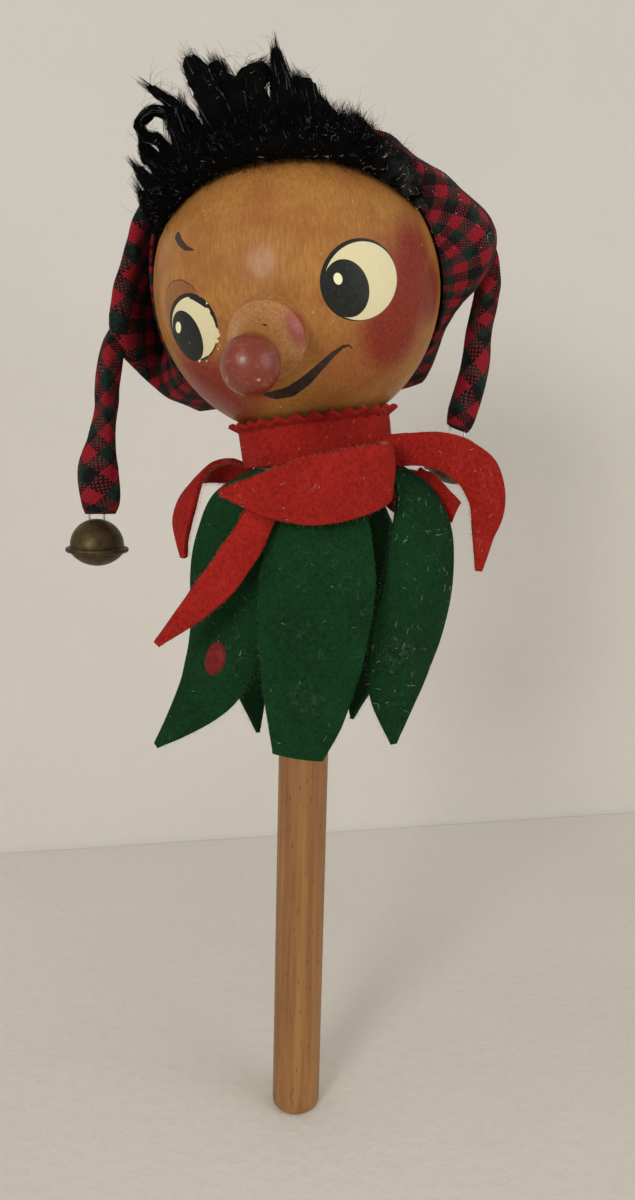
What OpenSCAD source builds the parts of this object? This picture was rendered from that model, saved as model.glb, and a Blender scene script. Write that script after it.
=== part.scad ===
// Musical spinning toy: a jester's head that whirls on a stick while a pinned cylinder
// turns inside it. Millimetres, +Z up the stick, origin at the centre of the stick's foot.
// The viewer stands at -Y, so -X is on the viewer's left.

/* [Stick] */
// Diameter of the handle stick
stick_d = 15; // [13:0.5:18]
// Length of the handle stick
stick_h = 197; // [170:1:240]
// Rounding of the stick's foot
stick_edge = 2; // [0.5:0.5:3]

/* [Axle] */
// Diameter of the steel axle
axle_d = 4; // [3.4:0.2:5]
// Length of axle held in the stick
axle_grip = 35; // [20:1:60]
// Diameter of the axle's upper end, which carries the worm
worm_seat_d = 3; // [2.4:0.1:3.2]
// Diameter of the cross pin that locks the axle
cross_pin_d = 2; // [1:0.1:2.6]
// Depth of the cross pin below the top of the stick
cross_pin_drop = 12; // [8:1:18]
// Thickness of the thrust washer
washer_t = 0.8; // [0.5:0.1:1.5]
// Diameter of the thrust washer
washer_d = 12; // [10:0.5:13]
// Diameter of the retaining collar
collar_d = 8; // [7:0.5:9]
// Height of the retaining collar
collar_h = 3.5; // [2.5:0.5:4]
// Diameter of the collar's set screw
set_screw_d = 1.6; // [1:0.1:2]

/* [Head] */
// Diameter of the turned ball
ball_d = 79; // [76:1:84]
// Wall of the hollow ball
ball_wall = 6; // [5:0.5:7]
// Height of the ball's centre above the top of the stick
head_rise = 55.2; // [54:0.2:58]
// Distance of the ball's centre from the axle, to the viewer's left
head_offset = 4.6; // [3:0.2:6]
// Lean of the neck to the viewer's left, in degrees
neck_lean = 8.5; // [5:0.5:11]
// Nod of the face, in degrees
head_nod = 15.8; // [10:0.2:20]
// Sideways tilt of the face, in degrees
head_tilt = 15; // [8:0.5:20]
// Turn of the face to the viewer's left, in degrees
head_turn = 12; // [6:0.5:18]
// Distance of the joint between face shell and rear cap behind the ball's centre
seam_back = 16.5; // [15:0.5:20]
// Depth of the rabbet between face shell and rear cap
rabbet_h = 3; // [2:0.5:4]
// Diameter of the neck
neck_d = 37; // [34:0.5:39]
// Diameter of the neck's spigot inside the ball
spigot_d = 30; // [27:0.5:31]
// Outer diameter of the neck's bush
bush_d = 8; // [7:0.5:10]

/* [Nose] */
// Diameter of the nose where it meets the face
nose_root_d = 19; // [16:0.5:21]
// Diameter of the nose's slimmest part
nose_waist_d = 12.4; // [11:0.2:13]
// Diameter of the rounded tip
nose_tip_d = 13.6; // [13:0.2:15]
// Distance of the tip's centre from the face
nose_reach = 22; // [18:0.5:26]
// Diameter of the peg that is glued in the face
nose_peg_d = 6; // [4:0.5:8]

/* [Movement] */
// Thickness of the bedplate
bed_t = 1.5; // [1:0.1:2]
// Height of the cylinder's axis above the bedplate
axis_rise = 11; // [10.6:0.1:12]
// Module of the worm and its wheel
tooth_module = 0.8; // [0.76:0.01:0.84]
// Teeth of the wheel
wheel_teeth = 18; // [17:1:20]
// Thickness of the wheel
wheel_t = 1.6; // [1.2:0.1:2]
// Pitch diameter of the worm
worm_pitch_d = 6; // [5.8:0.1:6.4]
// Length of the worm
worm_l = 9.8; // [8:0.2:10]
// Play between the teeth of worm and wheel, each side
tooth_play = 0.25; // [0.2:0.01:0.3]
// Diameter of the pinned cylinder
drum_d = 13; // [12:0.2:13.6]
// Width of one tooth of the comb with its slit
comb_step = 1; // [0.9:0.05:1.1]
// Teeth of the comb
comb_teeth = 18; // [14:1:19]
// Slit between the comb's teeth
comb_slit = 0.3; // [0.2:0.05:0.4]
// Thickness of the comb
comb_t = 0.6; // [0.4:0.1:0.8]
// Length of the longest tooth
comb_long = 8; // [7:0.5:9]
// Length of the shortest tooth
comb_short = 5; // [4:0.5:6]
// Depth of the comb's solid back
comb_back = 5; // [4:0.5:6]
// Diameter of the cylinder's pins
pin_d = 0.4; // [0.3:0.05:0.5]
// Height of the cylinder's pins
pin_h = 0.6; // [0.4:0.05:0.6]
// Diameter of the arbor
arbor_d = 3; // [2.4:0.1:3.6]
// Diameter of the arbor's pivots
pivot_d = 1.6; // [1.2:0.1:2]
// Thickness of the two brackets
bracket_t = 1.5; // [1:0.1:1.6]
// Diameter of the movement's screws
screw_d = 1.6; // [1.2:0.1:2]
// Diameter of the screw heads
screw_head_d = 3; // [2.6:0.1:3.4]
// Height of the screw heads
screw_head_h = 0.9; // [0.6:0.1:1.1]

/* [Bells] */
// Diameter of a bell's rim
bell_rim_d = 19; // [16:0.5:20]
// Diameter of a bell's dome
bell_dome_d = 16.2; // [14:0.1:17]
// Height of a bell's dome above the rim
bell_dome_h = 9.4; // [8.2:0.2:10.2]
// Depth of a bell's lower shell
bell_base_h = 4.2; // [3:0.2:4.8]
// Sheet of the bells
bell_t = 0.7; // [0.5:0.1:0.8]
// Diameter of the pellet
pellet_d = 4.4; // [3.6:0.2:5]
// Width of the slot in the lower shell
bell_slot = 1.6; // [1:0.1:2.4]
// Diameter of the bell's wire
wire_d = 0.7; // [0.5:0.1:0.9]
// Height of the wire's crossbar inside the end of the hat point
wire_in = 1.4; // [1.1:0.1:2]

/* [Hat and collar] */
// Thickness of the hat's cloth
cloth_t = 1.6; // [1.2:0.1:2]
// Thickness of the felt
felt_t = 1.6; // [1.2:0.1:2]
// Length of the left hat point below its fold
left_point_l = 35.5; // [28:0.5:38]
// Length of the right hat point below its fold
right_point_l = 36.5; // [30:0.5:38]
// Width of the left hat point at its end
left_point_w = 11.4; // [9:0.2:12]
// Width of the right hat point at its end
right_point_w = 8.4; // [7:0.2:9]
// Height of the felt neck band
band_h = 12; // [9:0.5:13]
// Teeth round the pinked edge of the neck band
band_teeth = 30; // [24:1:36]
// Length of the green leaves, from the neck's foot
leaf_l = 74; // [66:1:82]
// Width of the widest green leaf
leaf_w = 29; // [26:0.5:31]
// Diameter of the button on the left leaf
button_d = 6; // [5:0.2:7]

/* [Fits] */
// Running clearance of a turning part, each side
run_gap = 0.05; // [0.03:0.01:0.08]
// Clearance of a glued or driven part, each side
seat_gap = 0.02; // [0.01:0.01:0.04]
// End play between turning parts
end_play = 0.3; // [0.2:0.05:0.4]
// Gap between a soft part and its neighbour
soft_gap = 0.4; // [0.3:0.05:0.5]

/* [Hidden] */
$fn = 72;

// Head: the ball's centre, the neck's foot and the bedplate's seat
ball_r = ball_d / 2;
bore_r = ball_r - ball_wall;
ball_c = [-head_offset, 0, stick_h + head_rise];
neck_foot = stick_h + washer_t + end_play;
neck_r = neck_d / 2;
spigot_r = spigot_d / 2;
neck_seat = sqrt(ball_r * ball_r - neck_r * neck_r);
bed_lift = 13.8; // of the bedplate above the neck's spigot hole
bed_z = ball_c[2] - sqrt(bore_r * bore_r - spigot_r * spigot_r) + bed_lift;
bed_top = bed_z + bed_t;
bush_r = bush_d / 2;
rabbet_r = (ball_r + bore_r) / 2;
seam_r = sqrt(rabbet_r * rabbet_r - seam_back * seam_back);
nose_az = 3.7; // turn of the nose to the viewer's left
nose_drop = 7.9; // of the nose below the face's middle, in degrees
nose_sweep = 13; // radius of the curve from root to waist

// Worm drive and cylinder
worm_r = worm_pitch_d / 2;
wheel_r = tooth_module * wheel_teeth / 2;
tooth_out = 0.75 * tooth_module;
tooth_in = 1.05 * tooth_module;
thread_pitch = PI * tooth_module;
tooth_w = thread_pitch / 2 - tooth_play;
centre_y = worm_r + wheel_r;
axis_z = bed_top + axis_rise;
worm_z = axis_z - worm_l / 2;
collar_z = bed_top + end_play;
shoulder_z = worm_z;
shaft_top = axis_z + worm_l / 2 + 2;
drum_r = drum_d / 2;
drum_l = comb_step * comb_teeth;
drum_x = -5;
comb_gap = pin_h + 0.1;
comb_tip_y = centre_y - drum_r - comb_gap;
comb_back_y = comb_tip_y - comb_long;
comb_z = axis_z - comb_t / 2;
side_play = 0.8; // between the drum and the bracket beside it
bed_margin = 0.7; // of the bedplate round what stands on it
plain_x = drum_x - drum_l - side_play;
gear_x = wheel_t / 2 + 1.8;
foot_t = 1.2;
foot_l = 5;
bracket_w = 9;
bed_x = [plain_x - bracket_t - bed_margin, gear_x + bracket_t + foot_l + bed_margin];
bed_y = [comb_back_y - comb_back - bed_margin, centre_y + bracket_w / 2 + bed_margin];
clamp_t = 1.5;
clamp_y = comb_back_y - comb_back / 2;
clamp_screws = [for (k = [0.25, 0.75]) drum_x - drum_l * k];
bed_screws = [[-10, 7.5], [7.5, -7.5], [7, 1.8]]; // clear of the brackets' feet
gear_screw = [gear_x + bracket_t + foot_l / 2, centre_y, bed_top + foot_t];
plain_screw = [plain_x + foot_l / 2, centre_y, bed_top + foot_t];
clamp_top = comb_z + comb_t + clamp_t;

// Hat: where the two points fold, out from the ball's side, behind and below its centre
hat_r = ball_r + 2.6;
hat_back = 39;
left_fold_out = 15.8;
left_fold_back = 14;
left_fold_drop = 28.5;
right_fold_out = 14;
right_fold_back = 13;
left_fold = ball_c + [-(ball_r + left_fold_out), left_fold_back, -left_fold_drop];
right_fold = ball_c + [ball_r + right_fold_out, right_fold_back, 0];
left_slant = 4.8;
right_slant = 5;
fold_r = 3.4;
point_deep = 9;
left_end = left_fold + [-left_slant, 0, -left_point_l];
right_end = right_fold + [-right_slant, 0, -right_point_l];

// Bells: each hangs by a staple of wire whose crossbar turns in the end of its point
bell_swing = 30;
wire_l = 1.7; // from the end of the point to the dome
wire_spread = 2.2;
wire_knob_d = 1.2;
bell_r = bell_dome_d / 2;
rim_r = bell_rim_d / 2;
rim_t = 1.6;

// Point on a smooth curve through the points p, at place u counted in points
function curve(p, u) =
    let (
        i = max(0, min(floor(u), len(p) - 2)),
        f = u - i,
        a = p[max(i - 1, 0)],
        b = p[i],
        c = p[i + 1],
        d = p[min(i + 2, len(p) - 1)]
    )
    0.5 * (2 * b + (c - a) * f + (2 * a - 5 * b + 4 * c - d) * f * f + (3 * b - a - 3 * c + d) * f * f * f);
function unit(v) = v / norm(v);
// Bump of height 1 round the direction d, w degrees wide
function bump(v, d, w) = exp(-pow(acos(max(-1, min(1, v * unit(d)))) / w, 2));

// Closed skin over rings of points, each ring going round the tube's own direction
module skin(rings) {
    n = len(rings);
    m = len(rings[0]);
    polyhedron(
        points = [for (r = rings) for (p = r) p],
        faces = [
            for (i = [0 : n - 2]) for (k = [0 : m - 1])
                each [
                    [i * m + k, (i + 1) * m + k, (i + 1) * m + (k + 1) % m],
                    [i * m + k, (i + 1) * m + (k + 1) % m, i * m + (k + 1) % m]
                ],
            for (k = [1 : m - 2]) [0, k, k + 1],
            for (k = [1 : m - 2]) [(n - 1) * m, (n - 1) * m + k + 1, (n - 1) * m + k]
        ]
    );
}

// Tube of oval section along a path: w across, d deep
module cloth_tube(path, w, d, across, steps = 10, sides = 14) {
    e = 0.02;
    skin([
        for (i = [0 : steps])
            let (
                u = i / steps * (len(path) - 1),
                c = curve(path, u),
                t = unit(curve(path, u + e) - curve(path, u - e)),
                b = unit(cross(t, across)),
                a = cross(b, t)
            )
            [for (k = [0 : sides - 1])
                c + a * curve(w, u) / 2 * cos(360 * k / sides) + b * curve(d, u) / 2 * sin(360 * k / sides)]
    ]);
}

// Strip of felt along a path: width w, lying across the direction given for each point,
// and cupped by the share cup of its width
module felt(path, w, across, cup = 0.1, steps = 12, cols = 6) {
    e = 0.02;
    m = cols + 1;
    frames = [
        for (i = [0 : steps])
            let (
                u = i / steps * (len(path) - 1),
                t = unit(curve(path, u + e) - curve(path, u - e)),
                b = unit(cross(t, curve(across, u))),
                a = cross(b, t)
            )
            [curve(path, u), a * max(0.8, curve(w, u)), b]
    ];
    function sheet(side) = [
        for (f = frames) for (j = [0 : cols])
            let (s = 2 * j / cols - 1)
            f[0] + f[1] * s / 2 + f[2] * (cup * norm(f[1]) * (1 - s * s) + side * felt_t / 2)
    ];
    far = (steps + 1) * m;
    polyhedron(
        points = concat(sheet(1), sheet(-1)),
        faces = [
            for (i = [0 : steps - 1]) for (j = [0 : cols - 1])
                let (p = i * m + j)
                each [
                    [p, p + 1, p + m + 1], [p, p + m + 1, p + m],
                    [far + p, far + p + m + 1, far + p + 1], [far + p, far + p + m, far + p + m + 1]
                ],
            for (i = [0 : steps - 1])
                let (p = i * m, q = i * m + cols)
                each [
                    [p, p + m, far + p + m], [p, far + p + m, far + p],
                    [q, far + q + m, q + m], [q, far + q, far + q + m]
                ],
            for (j = [0 : cols - 1])
                let (q = steps * m + j)
                each [
                    [j, far + j + 1, j + 1], [j, far + j, far + j + 1],
                    [q, q + 1, far + q + 1], [q, far + q + 1, far + q]
                ]
        ]
    );
}

module in_head() {
    translate(ball_c) rotate([head_nod, -head_tilt, -head_turn]) children();
}
module along_neck() {
    translate(ball_c) rotate([0, -neck_lean, 0]) children();
}

module handle_stick() {
    color("peru") difference() {
        rotate_extrude() difference() {
            square([stick_d / 2, stick_h]);
            translate([stick_d / 2 - stick_edge, 0]) difference() {
                square(stick_edge);
                translate([0, stick_edge]) circle(stick_edge);
            }
        }
        translate([0, 0, stick_h - axle_grip]) cylinder(d = axle_d + 2 * seat_gap, h = axle_grip + 1);
        translate([-stick_d, 0, stick_h - cross_pin_drop]) rotate([0, 90, 0])
            cylinder(d = cross_pin_d + 2 * seat_gap, h = 2 * stick_d);
    }
}
module drive_shaft() {
    color("silver") difference() {
        union() {
            translate([0, 0, stick_h - axle_grip]) cylinder(d = axle_d, h = shoulder_z - stick_h + axle_grip);
            translate([0, 0, shoulder_z - 1]) cylinder(d = worm_seat_d, h = shaft_top - shoulder_z + 1);
        }
        translate([-axle_d, 0, stick_h - cross_pin_drop]) rotate([0, 90, 0])
            cylinder(d = cross_pin_d + 2 * seat_gap, h = 2 * axle_d);
    }
}
module shaft_pin() {
    color("silver") translate([-stick_d / 2 + 0.5, 0, stick_h - cross_pin_drop]) rotate([0, 90, 0])
        cylinder(d = cross_pin_d, h = stick_d - 1);
}
module thrust_washer() {
    color("silver") translate([0, 0, stick_h]) difference() {
        cylinder(d = washer_d, h = washer_t);
        translate([0, 0, -1]) cylinder(d = axle_d + 2 * run_gap, h = washer_t + 2);
    }
}
module retaining_collar() {
    color("silver") difference() {
        translate([0, 0, collar_z]) cylinder(d = collar_d, h = collar_h);
        translate([0, 0, collar_z - 1]) cylinder(d = axle_d + 2 * seat_gap, h = collar_h + 2);
        translate([0, 0, collar_z + collar_h / 2]) rotate([90, 0, 0])
            cylinder(d = set_screw_d + 2 * seat_gap, h = collar_d);
    }
}
module collar_screw() {
    color("dimgray") translate([0, -axle_d / 2 - seat_gap, collar_z + collar_h / 2]) rotate([90, 0, 0])
        cylinder(d = set_screw_d, h = (collar_d - axle_d) / 2 - 0.3);
}
// The thread is one cam outline that turns as it rises; the cam's nose is the ridge
module drive_worm() {
    crest = worm_r + tooth_out;
    root = worm_r - tooth_in;
    crest_half = 180 * (tooth_w - 2 * tooth_out * tan(20)) / thread_pitch;
    root_half = 180 * (tooth_w + 2 * tooth_in * tan(20)) / thread_pitch;
    turns = worm_l / thread_pitch;
    start = 90 - 360 * (axis_z - worm_z) / thread_pitch;
    cam = [
        for (a = [-crest_half : crest_half / 3 : crest_half]) crest * [cos(a), sin(a)],
        for (s = [0.33, 0.67])
            let (a = crest_half + s * (root_half - crest_half), r = crest + s * (root - crest))
            r * [cos(a), sin(a)],
        for (s = [0 : 0.25 : 1])
            let (a = root_half + s * (360 - 2 * root_half))
            root * [cos(a), sin(a)],
        for (s = [0.67, 0.33])
            let (a = -crest_half - s * (root_half - crest_half), r = crest + s * (root - crest))
            r * [cos(a), sin(a)]
    ];
    color("goldenrod") difference() {
        translate([0, 0, worm_z]) rotate([0, 0, start])
            linear_extrude(height = worm_l, twist = -360 * turns, slices = ceil(turns * 12), $fn = 6)
                polygon(cam);
        translate([0, 0, worm_z - 1]) cylinder(d = worm_seat_d + 2 * seat_gap, h = worm_l + 2);
    }
}

module neck_block() {
    color("sienna") difference() {
        along_neck() union() {
            translate([0, 0, -head_rise - 6]) cylinder(r = neck_r, h = head_rise + 6 - neck_seat);
            translate([0, 0, -neck_seat - 1]) cylinder(r = spigot_r, h = neck_seat);
        }
        translate([-50, -50, neck_foot - 20]) cube([100, 100, 20]);
        translate([-50, -50, bed_z]) cube([100, 100, 60]);
        cylinder(d = bush_d + 2 * seat_gap, h = bed_z + 1);
        for (p = bed_screws) translate([p[0], p[1], bed_z - 5]) cylinder(d = screw_d + 2 * seat_gap, h = 6);
    }
}
module neck_bush() {
    color("goldenrod") translate([0, 0, neck_foot]) difference() {
        cylinder(d = bush_d, h = bed_top - neck_foot);
        translate([0, 0, -1]) cylinder(d = axle_d + 2 * run_gap, h = bed_top - neck_foot + 2);
    }
}
module along_nose() {
    in_head() rotate([0, 0, -nose_az]) rotate([90 + nose_drop, 0, 0]) children();
}
// The hollow ball is turned about the line from face to nape; both halves share this outline
module ball_outline() {
    difference() {
        translate([0, -ball_r]) square([ball_r, ball_d]);
        circle(bore_r);
        difference() {
            translate([0, -ball_r]) square([ball_d, ball_d]);
            circle(ball_r);
        }
    }
}
module turned_head() {
    in_head() rotate([-90, 0, 0]) rotate_extrude() children();
}
module face_shell() {
    color("goldenrod") difference() {
        turned_head() difference() {
            ball_outline();
            translate([0, seam_back]) square(ball_d);
            translate([0, seam_back - rabbet_h]) square([seam_r + seat_gap, ball_d]);
        }
        along_nose() cylinder(d = nose_peg_d + 2 * seat_gap, h = ball_d);
        along_neck() translate([0, 0, -ball_d]) cylinder(r = spigot_r + seat_gap, h = ball_d);
        along_neck() translate([0, 0, -ball_d - neck_seat]) cylinder(r = neck_r + 1, h = ball_d);
    }
}
module rear_cap() {
    color("goldenrod") turned_head() intersection() {
        ball_outline();
        union() {
            translate([0, seam_back]) square(ball_d);
            translate([0, seam_back - rabbet_h]) square([seam_r, ball_d]);
        }
    }
}
module nose() {
    root_r = nose_root_d / 2;
    waist_r = nose_waist_d / 2;
    tip_r = nose_tip_d / 2;
    color("indianred") along_nose() {
        difference() {
            rotate_extrude() union() {
                translate([0, ball_r - 4]) square([waist_r, nose_reach + 4]);
                difference() {
                    translate([0, ball_r - 4]) square([root_r, 4 + nose_sweep]);
                    translate([waist_r + nose_sweep, ball_r + nose_sweep]) circle(nose_sweep);
                }
                intersection() {
                    translate([0, ball_r + nose_reach]) circle(tip_r);
                    translate([0, ball_r]) square([tip_r, nose_reach + tip_r]);
                }
            }
            sphere(ball_r + seat_gap);
        }
        translate([0, 0, bore_r + 1]) cylinder(d = nose_peg_d, h = ball_wall + 2);
    }
}

module screw(p, drop, head = true) {
    translate(p) {
        translate([0, 0, -drop]) cylinder(d = screw_d, h = drop + 0.1);
        cylinder(d = screw_head_d, h = screw_head_h);
    }
}
module screw_hole(p, drop) {
    translate(p - [0, 0, drop]) cylinder(d = screw_d + 2 * seat_gap, h = drop + 20);
}
module movement_bedplate() {
    block_x = drum_x - drum_l;
    color("khaki") difference() {
        union() {
            translate([bed_x[0], bed_y[0], bed_z]) cube([bed_x[1] - bed_x[0], bed_y[1] - bed_y[0], bed_t]);
            translate([block_x, comb_back_y - comb_back, bed_top - 0.5])
                cube([drum_l, comb_back, comb_z - bed_top + 0.5]);
        }
        translate([0, 0, bed_z - 1]) cylinder(d = bush_d + 2 * seat_gap, h = bed_t + 2);
        for (p = bed_screws) screw_hole([p[0], p[1], bed_top], bed_t + 1);
        screw_hole(gear_screw, 6);
        screw_hole(plain_screw, 6);
        for (x = clamp_screws) screw_hole([x, clamp_y, clamp_top], clamp_t + comb_t + 4);
    }
}
module music_comb() {
    color("lightsteelblue") difference() {
        translate([drum_x - drum_l, comb_back_y - comb_back, comb_z]) linear_extrude(comb_t) difference() {
            square([drum_l, comb_back + comb_long]);
            for (k = [0 : comb_teeth])
                let (reach = comb_short + (comb_long - comb_short) * k / comb_teeth)
                translate([k * comb_step - comb_slit / 2, comb_back + comb_long - reach])
                    square([comb_slit, reach + 1]);
        }
        for (x = clamp_screws) screw_hole([x, clamp_y, clamp_top], clamp_t + comb_t + 1);
    }
}
module comb_clamp() {
    color("khaki") difference() {
        translate([drum_x - drum_l, comb_back_y - comb_back, comb_z + comb_t])
            cube([drum_l, comb_back, clamp_t]);
        for (x = clamp_screws) screw_hole([x, clamp_y, clamp_top], clamp_t + 1);
    }
}
// Bracket that bears a pivot; its foot goes to the side given
module bracket(x, foot_x, hole) {
    color("khaki") difference() {
        union() {
            translate([x, centre_y - bracket_w / 2, bed_top]) cube([bracket_t, bracket_w, axis_rise]);
            translate([x, centre_y, axis_z]) rotate([0, 90, 0]) cylinder(d = bracket_w, h = bracket_t);
            translate([foot_x, centre_y - bracket_w / 2, bed_top]) cube([foot_l, bracket_w, foot_t]);
        }
        translate([x - 1, centre_y, axis_z]) rotate([0, 90, 0])
            cylinder(d = pivot_d + 2 * run_gap, h = bracket_t + 2);
        screw_hole(hole, foot_t + 1);
    }
}
module gear_bracket() {
    bracket(gear_x, gear_x + bracket_t - 0.1, gear_screw);
}
module plain_bracket() {
    bracket(plain_x - bracket_t, plain_x - 0.1, plain_screw);
}
module movement_screws() {
    color("dimgray") {
        for (p = bed_screws) screw([p[0], p[1], bed_top], bed_t + 4.5);
        screw(gear_screw, foot_t + bed_t);
        screw(plain_screw, foot_t + bed_t);
        for (x = clamp_screws) screw([x, clamp_y, clamp_top], clamp_t + comb_t + 3.5);
    }
}
module on_arbor(x) {
    translate([x, centre_y, axis_z]) rotate([0, 90, 0]) children();
}
// Pins stand where the tune asks for a tooth: a formula spreads them round the drum
module cylinder_drum() {
    beats = 12;
    color("gold") on_arbor(drum_x - drum_l) difference() {
        union() {
            cylinder(r = drum_r, h = drum_l);
            for (k = [0 : comb_teeth - 1]) for (b = [0 : beats - 1])
                if ((k * 5 + b * b * 3 + k * b) % 11 < 3)
                    rotate([0, 0, b * 360 / beats + k * 4]) translate([drum_r - 0.5, 0, (k + 0.5) * comb_step])
                        rotate([0, 90, 0]) cylinder(d = pin_d, h = pin_h + 0.5, $fn = 16);
        }
        translate([0, 0, -1]) cylinder(d = arbor_d + 2 * seat_gap, h = drum_l + 2);
    }
}
module cylinder_arbor() {
    arbor_x = plain_x + 0.15;
    color("silver") {
        on_arbor(arbor_x) cylinder(d = arbor_d, h = gear_x - 0.15 - arbor_x);
        on_arbor(plain_x - bracket_t) cylinder(d = pivot_d, h = gear_x - plain_x + 2 * bracket_t);
    }
}
module cylinder_gear() {
    tip = wheel_r + tooth_out;
    root = wheel_r - tooth_in;
    step = 360 / wheel_teeth;
    function half(r) = 90 / PI * (tooth_w + 2 * (wheel_r - r) * tan(20)) / r;
    color("goldenrod") on_arbor(-wheel_t / 2) difference() {
        linear_extrude(wheel_t) polygon([
            for (i = [0 : wheel_teeth - 1]) for (s = [[root, -1], [tip, -1], [tip, 1], [root, 1]])
                let (a = -90 + (i + 0.5) * step + s[1] * half(s[0]))
                s[0] * [cos(a), sin(a)]
        ]);
        translate([0, 0, -1]) cylinder(d = arbor_d + 2 * seat_gap, h = wheel_t + 2);
    }
}

// Direction from the ball's centre, by the angle from the hat's pole and the angle round it
// from the hairline; the pole points backwards and up
function hat_dir(away, round) =
    let (pole = [0, cos(hat_back), sin(hat_back)], top = [0, -sin(hat_back), cos(hat_back)])
    cos(away) * pole + sin(away) * (cos(round) * top + sin(round) * [1, 0, 0]);
// Reach of the cloth from the ball's centre: a hood that spreads into the two points
function hat_reach(v) =
    hat_r
    + 6.5 * bump(v, [0.15, 0.25, 1], 30)
    + 9 * bump(v, [0.8, 0.3, 0.55], 32)
    + (norm(right_fold - ball_c) - hat_r) * bump(v, right_fold - ball_c, 20)
    + 8 * bump(v, [-0.9, 0.3, 0.3], 30)
    + (norm(left_fold - ball_c) - hat_r) * bump(v, left_fold - ball_c, 22);
function hat_rim(round) =
    90 + 9 * exp(-pow((round + 115) / 26, 2)) + 4 * exp(-pow((round - 100) / 20, 2));
module hat_hood() {
    rows = 9;
    cols = 40;
    function row(j, inset) = [
        for (k = [0 : cols - 1])
            let (
                round = 360 * k / cols - 180,
                v = hat_dir(hat_rim(round) * j / rows, round)
            )
            ball_c + v * (hat_reach(v) - inset)
    ];
    n = rows * cols;
    pole = hat_dir(0, 0);
    color("firebrick") difference() {
        polyhedron(
            points = concat(
                [for (j = [1 : rows]) each row(j, 0)],
                [for (j = [1 : rows]) each row(j, cloth_t)],
                [ball_c + pole * hat_reach(pole), ball_c + pole * (hat_reach(pole) - cloth_t)]
            ),
            faces = [
                for (j = [0 : rows - 2]) for (k = [0 : cols - 1])
                    let (p = j * cols + k, q = j * cols + (k + 1) % cols)
                    each [
                        [p, q, q + cols], [p, q + cols, p + cols],
                        [n + p, n + q + cols, n + q], [n + p, n + p + cols, n + q + cols]
                    ],
                for (k = [0 : cols - 1])
                    let (q = (k + 1) % cols, e = (rows - 1) * cols)
                    each [
                        [2 * n, q, k], [2 * n + 1, n + k, n + q],
                        [e + k, n + e + q, n + e + k], [e + k, e + q, n + e + q]
                    ]
            ]
        );
        hat_point(left_fold, left_end, left_point_w, soft_gap);
        hat_point(right_fold, right_end, right_point_w, soft_gap);
    }
}
// Hanging part of a hat point, round at its fold so that it can swing there; more makes
// the space that it needs
module hat_point(fold, end, w_end, more = 0) {
    widths = [2 * fold_r, 2 * fold_r + 0.6, w_end, w_end + 0.4];
    depths = [point_deep, point_deep - 0.4, point_deep - 2, point_deep - 3];
    translate(fold - [0, point_deep / 2 + more, 0]) rotate([-90, 0, 0])
        cylinder(r = fold_r + more, h = point_deep + 2 * more, $fn = 24);
    cloth_tube(
        [fold, fold + (end - fold) * 0.3, fold + (end - fold) * 0.7, end],
        [for (w = widths) w + 2 * more], [for (d = depths) d + 2 * more], [1, 0, 0]
    );
}
// Room for the wire's crossbar, and for its two legs to swing
module wire_room(end) {
    room = wire_d + 2 * run_gap;
    reach = wire_in + 2;
    translate(end + [0, 0, wire_in]) {
        rotate([0, 90, 0]) cylinder(d = room, h = 2 * wire_spread + room, center = true, $fn = 24);
        for (x = [-wire_spread, wire_spread]) hull() for (a = [-bell_swing - 2, bell_swing + 2])
            rotate([a, 0, 0]) translate([x, 0, -reach]) cylinder(d = room, h = reach, $fn = 24);
    }
}
module left_hat_point() {
    color("firebrick") difference() {
        hat_point(left_fold, left_end, left_point_w);
        wire_room(left_end);
    }
}
module right_hat_point() {
    color("firebrick") difference() {
        hat_point(right_fold, right_end, right_point_w);
        wire_room(right_end);
    }
}

// Wool tufts in front of the hat's rim: a lumpy roll that stands up in uneven tufts
module hair_fringe() {
    steps = 32;
    spread = 80;
    low = ball_r + soft_gap;
    function tuft(a) = pow(abs(sin(a * 4.4 + 30)), 1.5);
    color("#1a1a1a") skin([
        for (i = [0 : steps])
            let (
                round = -spread + 2 * spread * i / steps,
                edge = hat_rim(round),
                front = 4 + 10 * pow(cos(round), 1.4),
                mid = (1.2 + front) / 2,
                high = max(low + 3, hat_reach(hat_dir(edge, round)) + 1),
                tall = (1 + 19 * pow(cos(round), 1.3) * (1 - 0.5 * sin(round))) * (0.55 + 0.45 * tuft(round))
            )
            [for (s = [
                    [1.2, 0, 0], [1.2, 1, 0], [1.2, 1, 0.9], [mid, 1, 1], [front - 1, 0.75, 0.3],
                    [front, 0.3, 0], [front - 0.8, 0, 0], [mid, 0, 0]
                ])
                ball_c + hat_dir(edge + s[0], round) * (low + (high - low) * s[1]) + [0, 0, tall * s[2]]]
    ]);
}

module neck_band() {
    top = -neck_seat + 0.6;
    notch = 360 / band_teeth;
    notch_w = PI * neck_d / band_teeth;
    band_r = neck_r + seat_gap;
    color("crimson") along_neck() difference() {
        translate([0, 0, top - band_h]) difference() {
            cylinder(r = band_r + felt_t, h = band_h);
            translate([0, 0, -1]) cylinder(r = band_r, h = band_h + 2);
        }
        for (k = [0 : band_teeth - 1]) rotate([0, 0, k * notch])
            translate([band_r - 1, 0, top]) rotate([90, 0, 90]) linear_extrude(felt_t + 2)
                polygon([[-0.45 * notch_w, 0.1], [0, -pink_deep], [0.45 * notch_w, 0.1]]);
        sphere(ball_r + soft_gap);
    }
}

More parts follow.
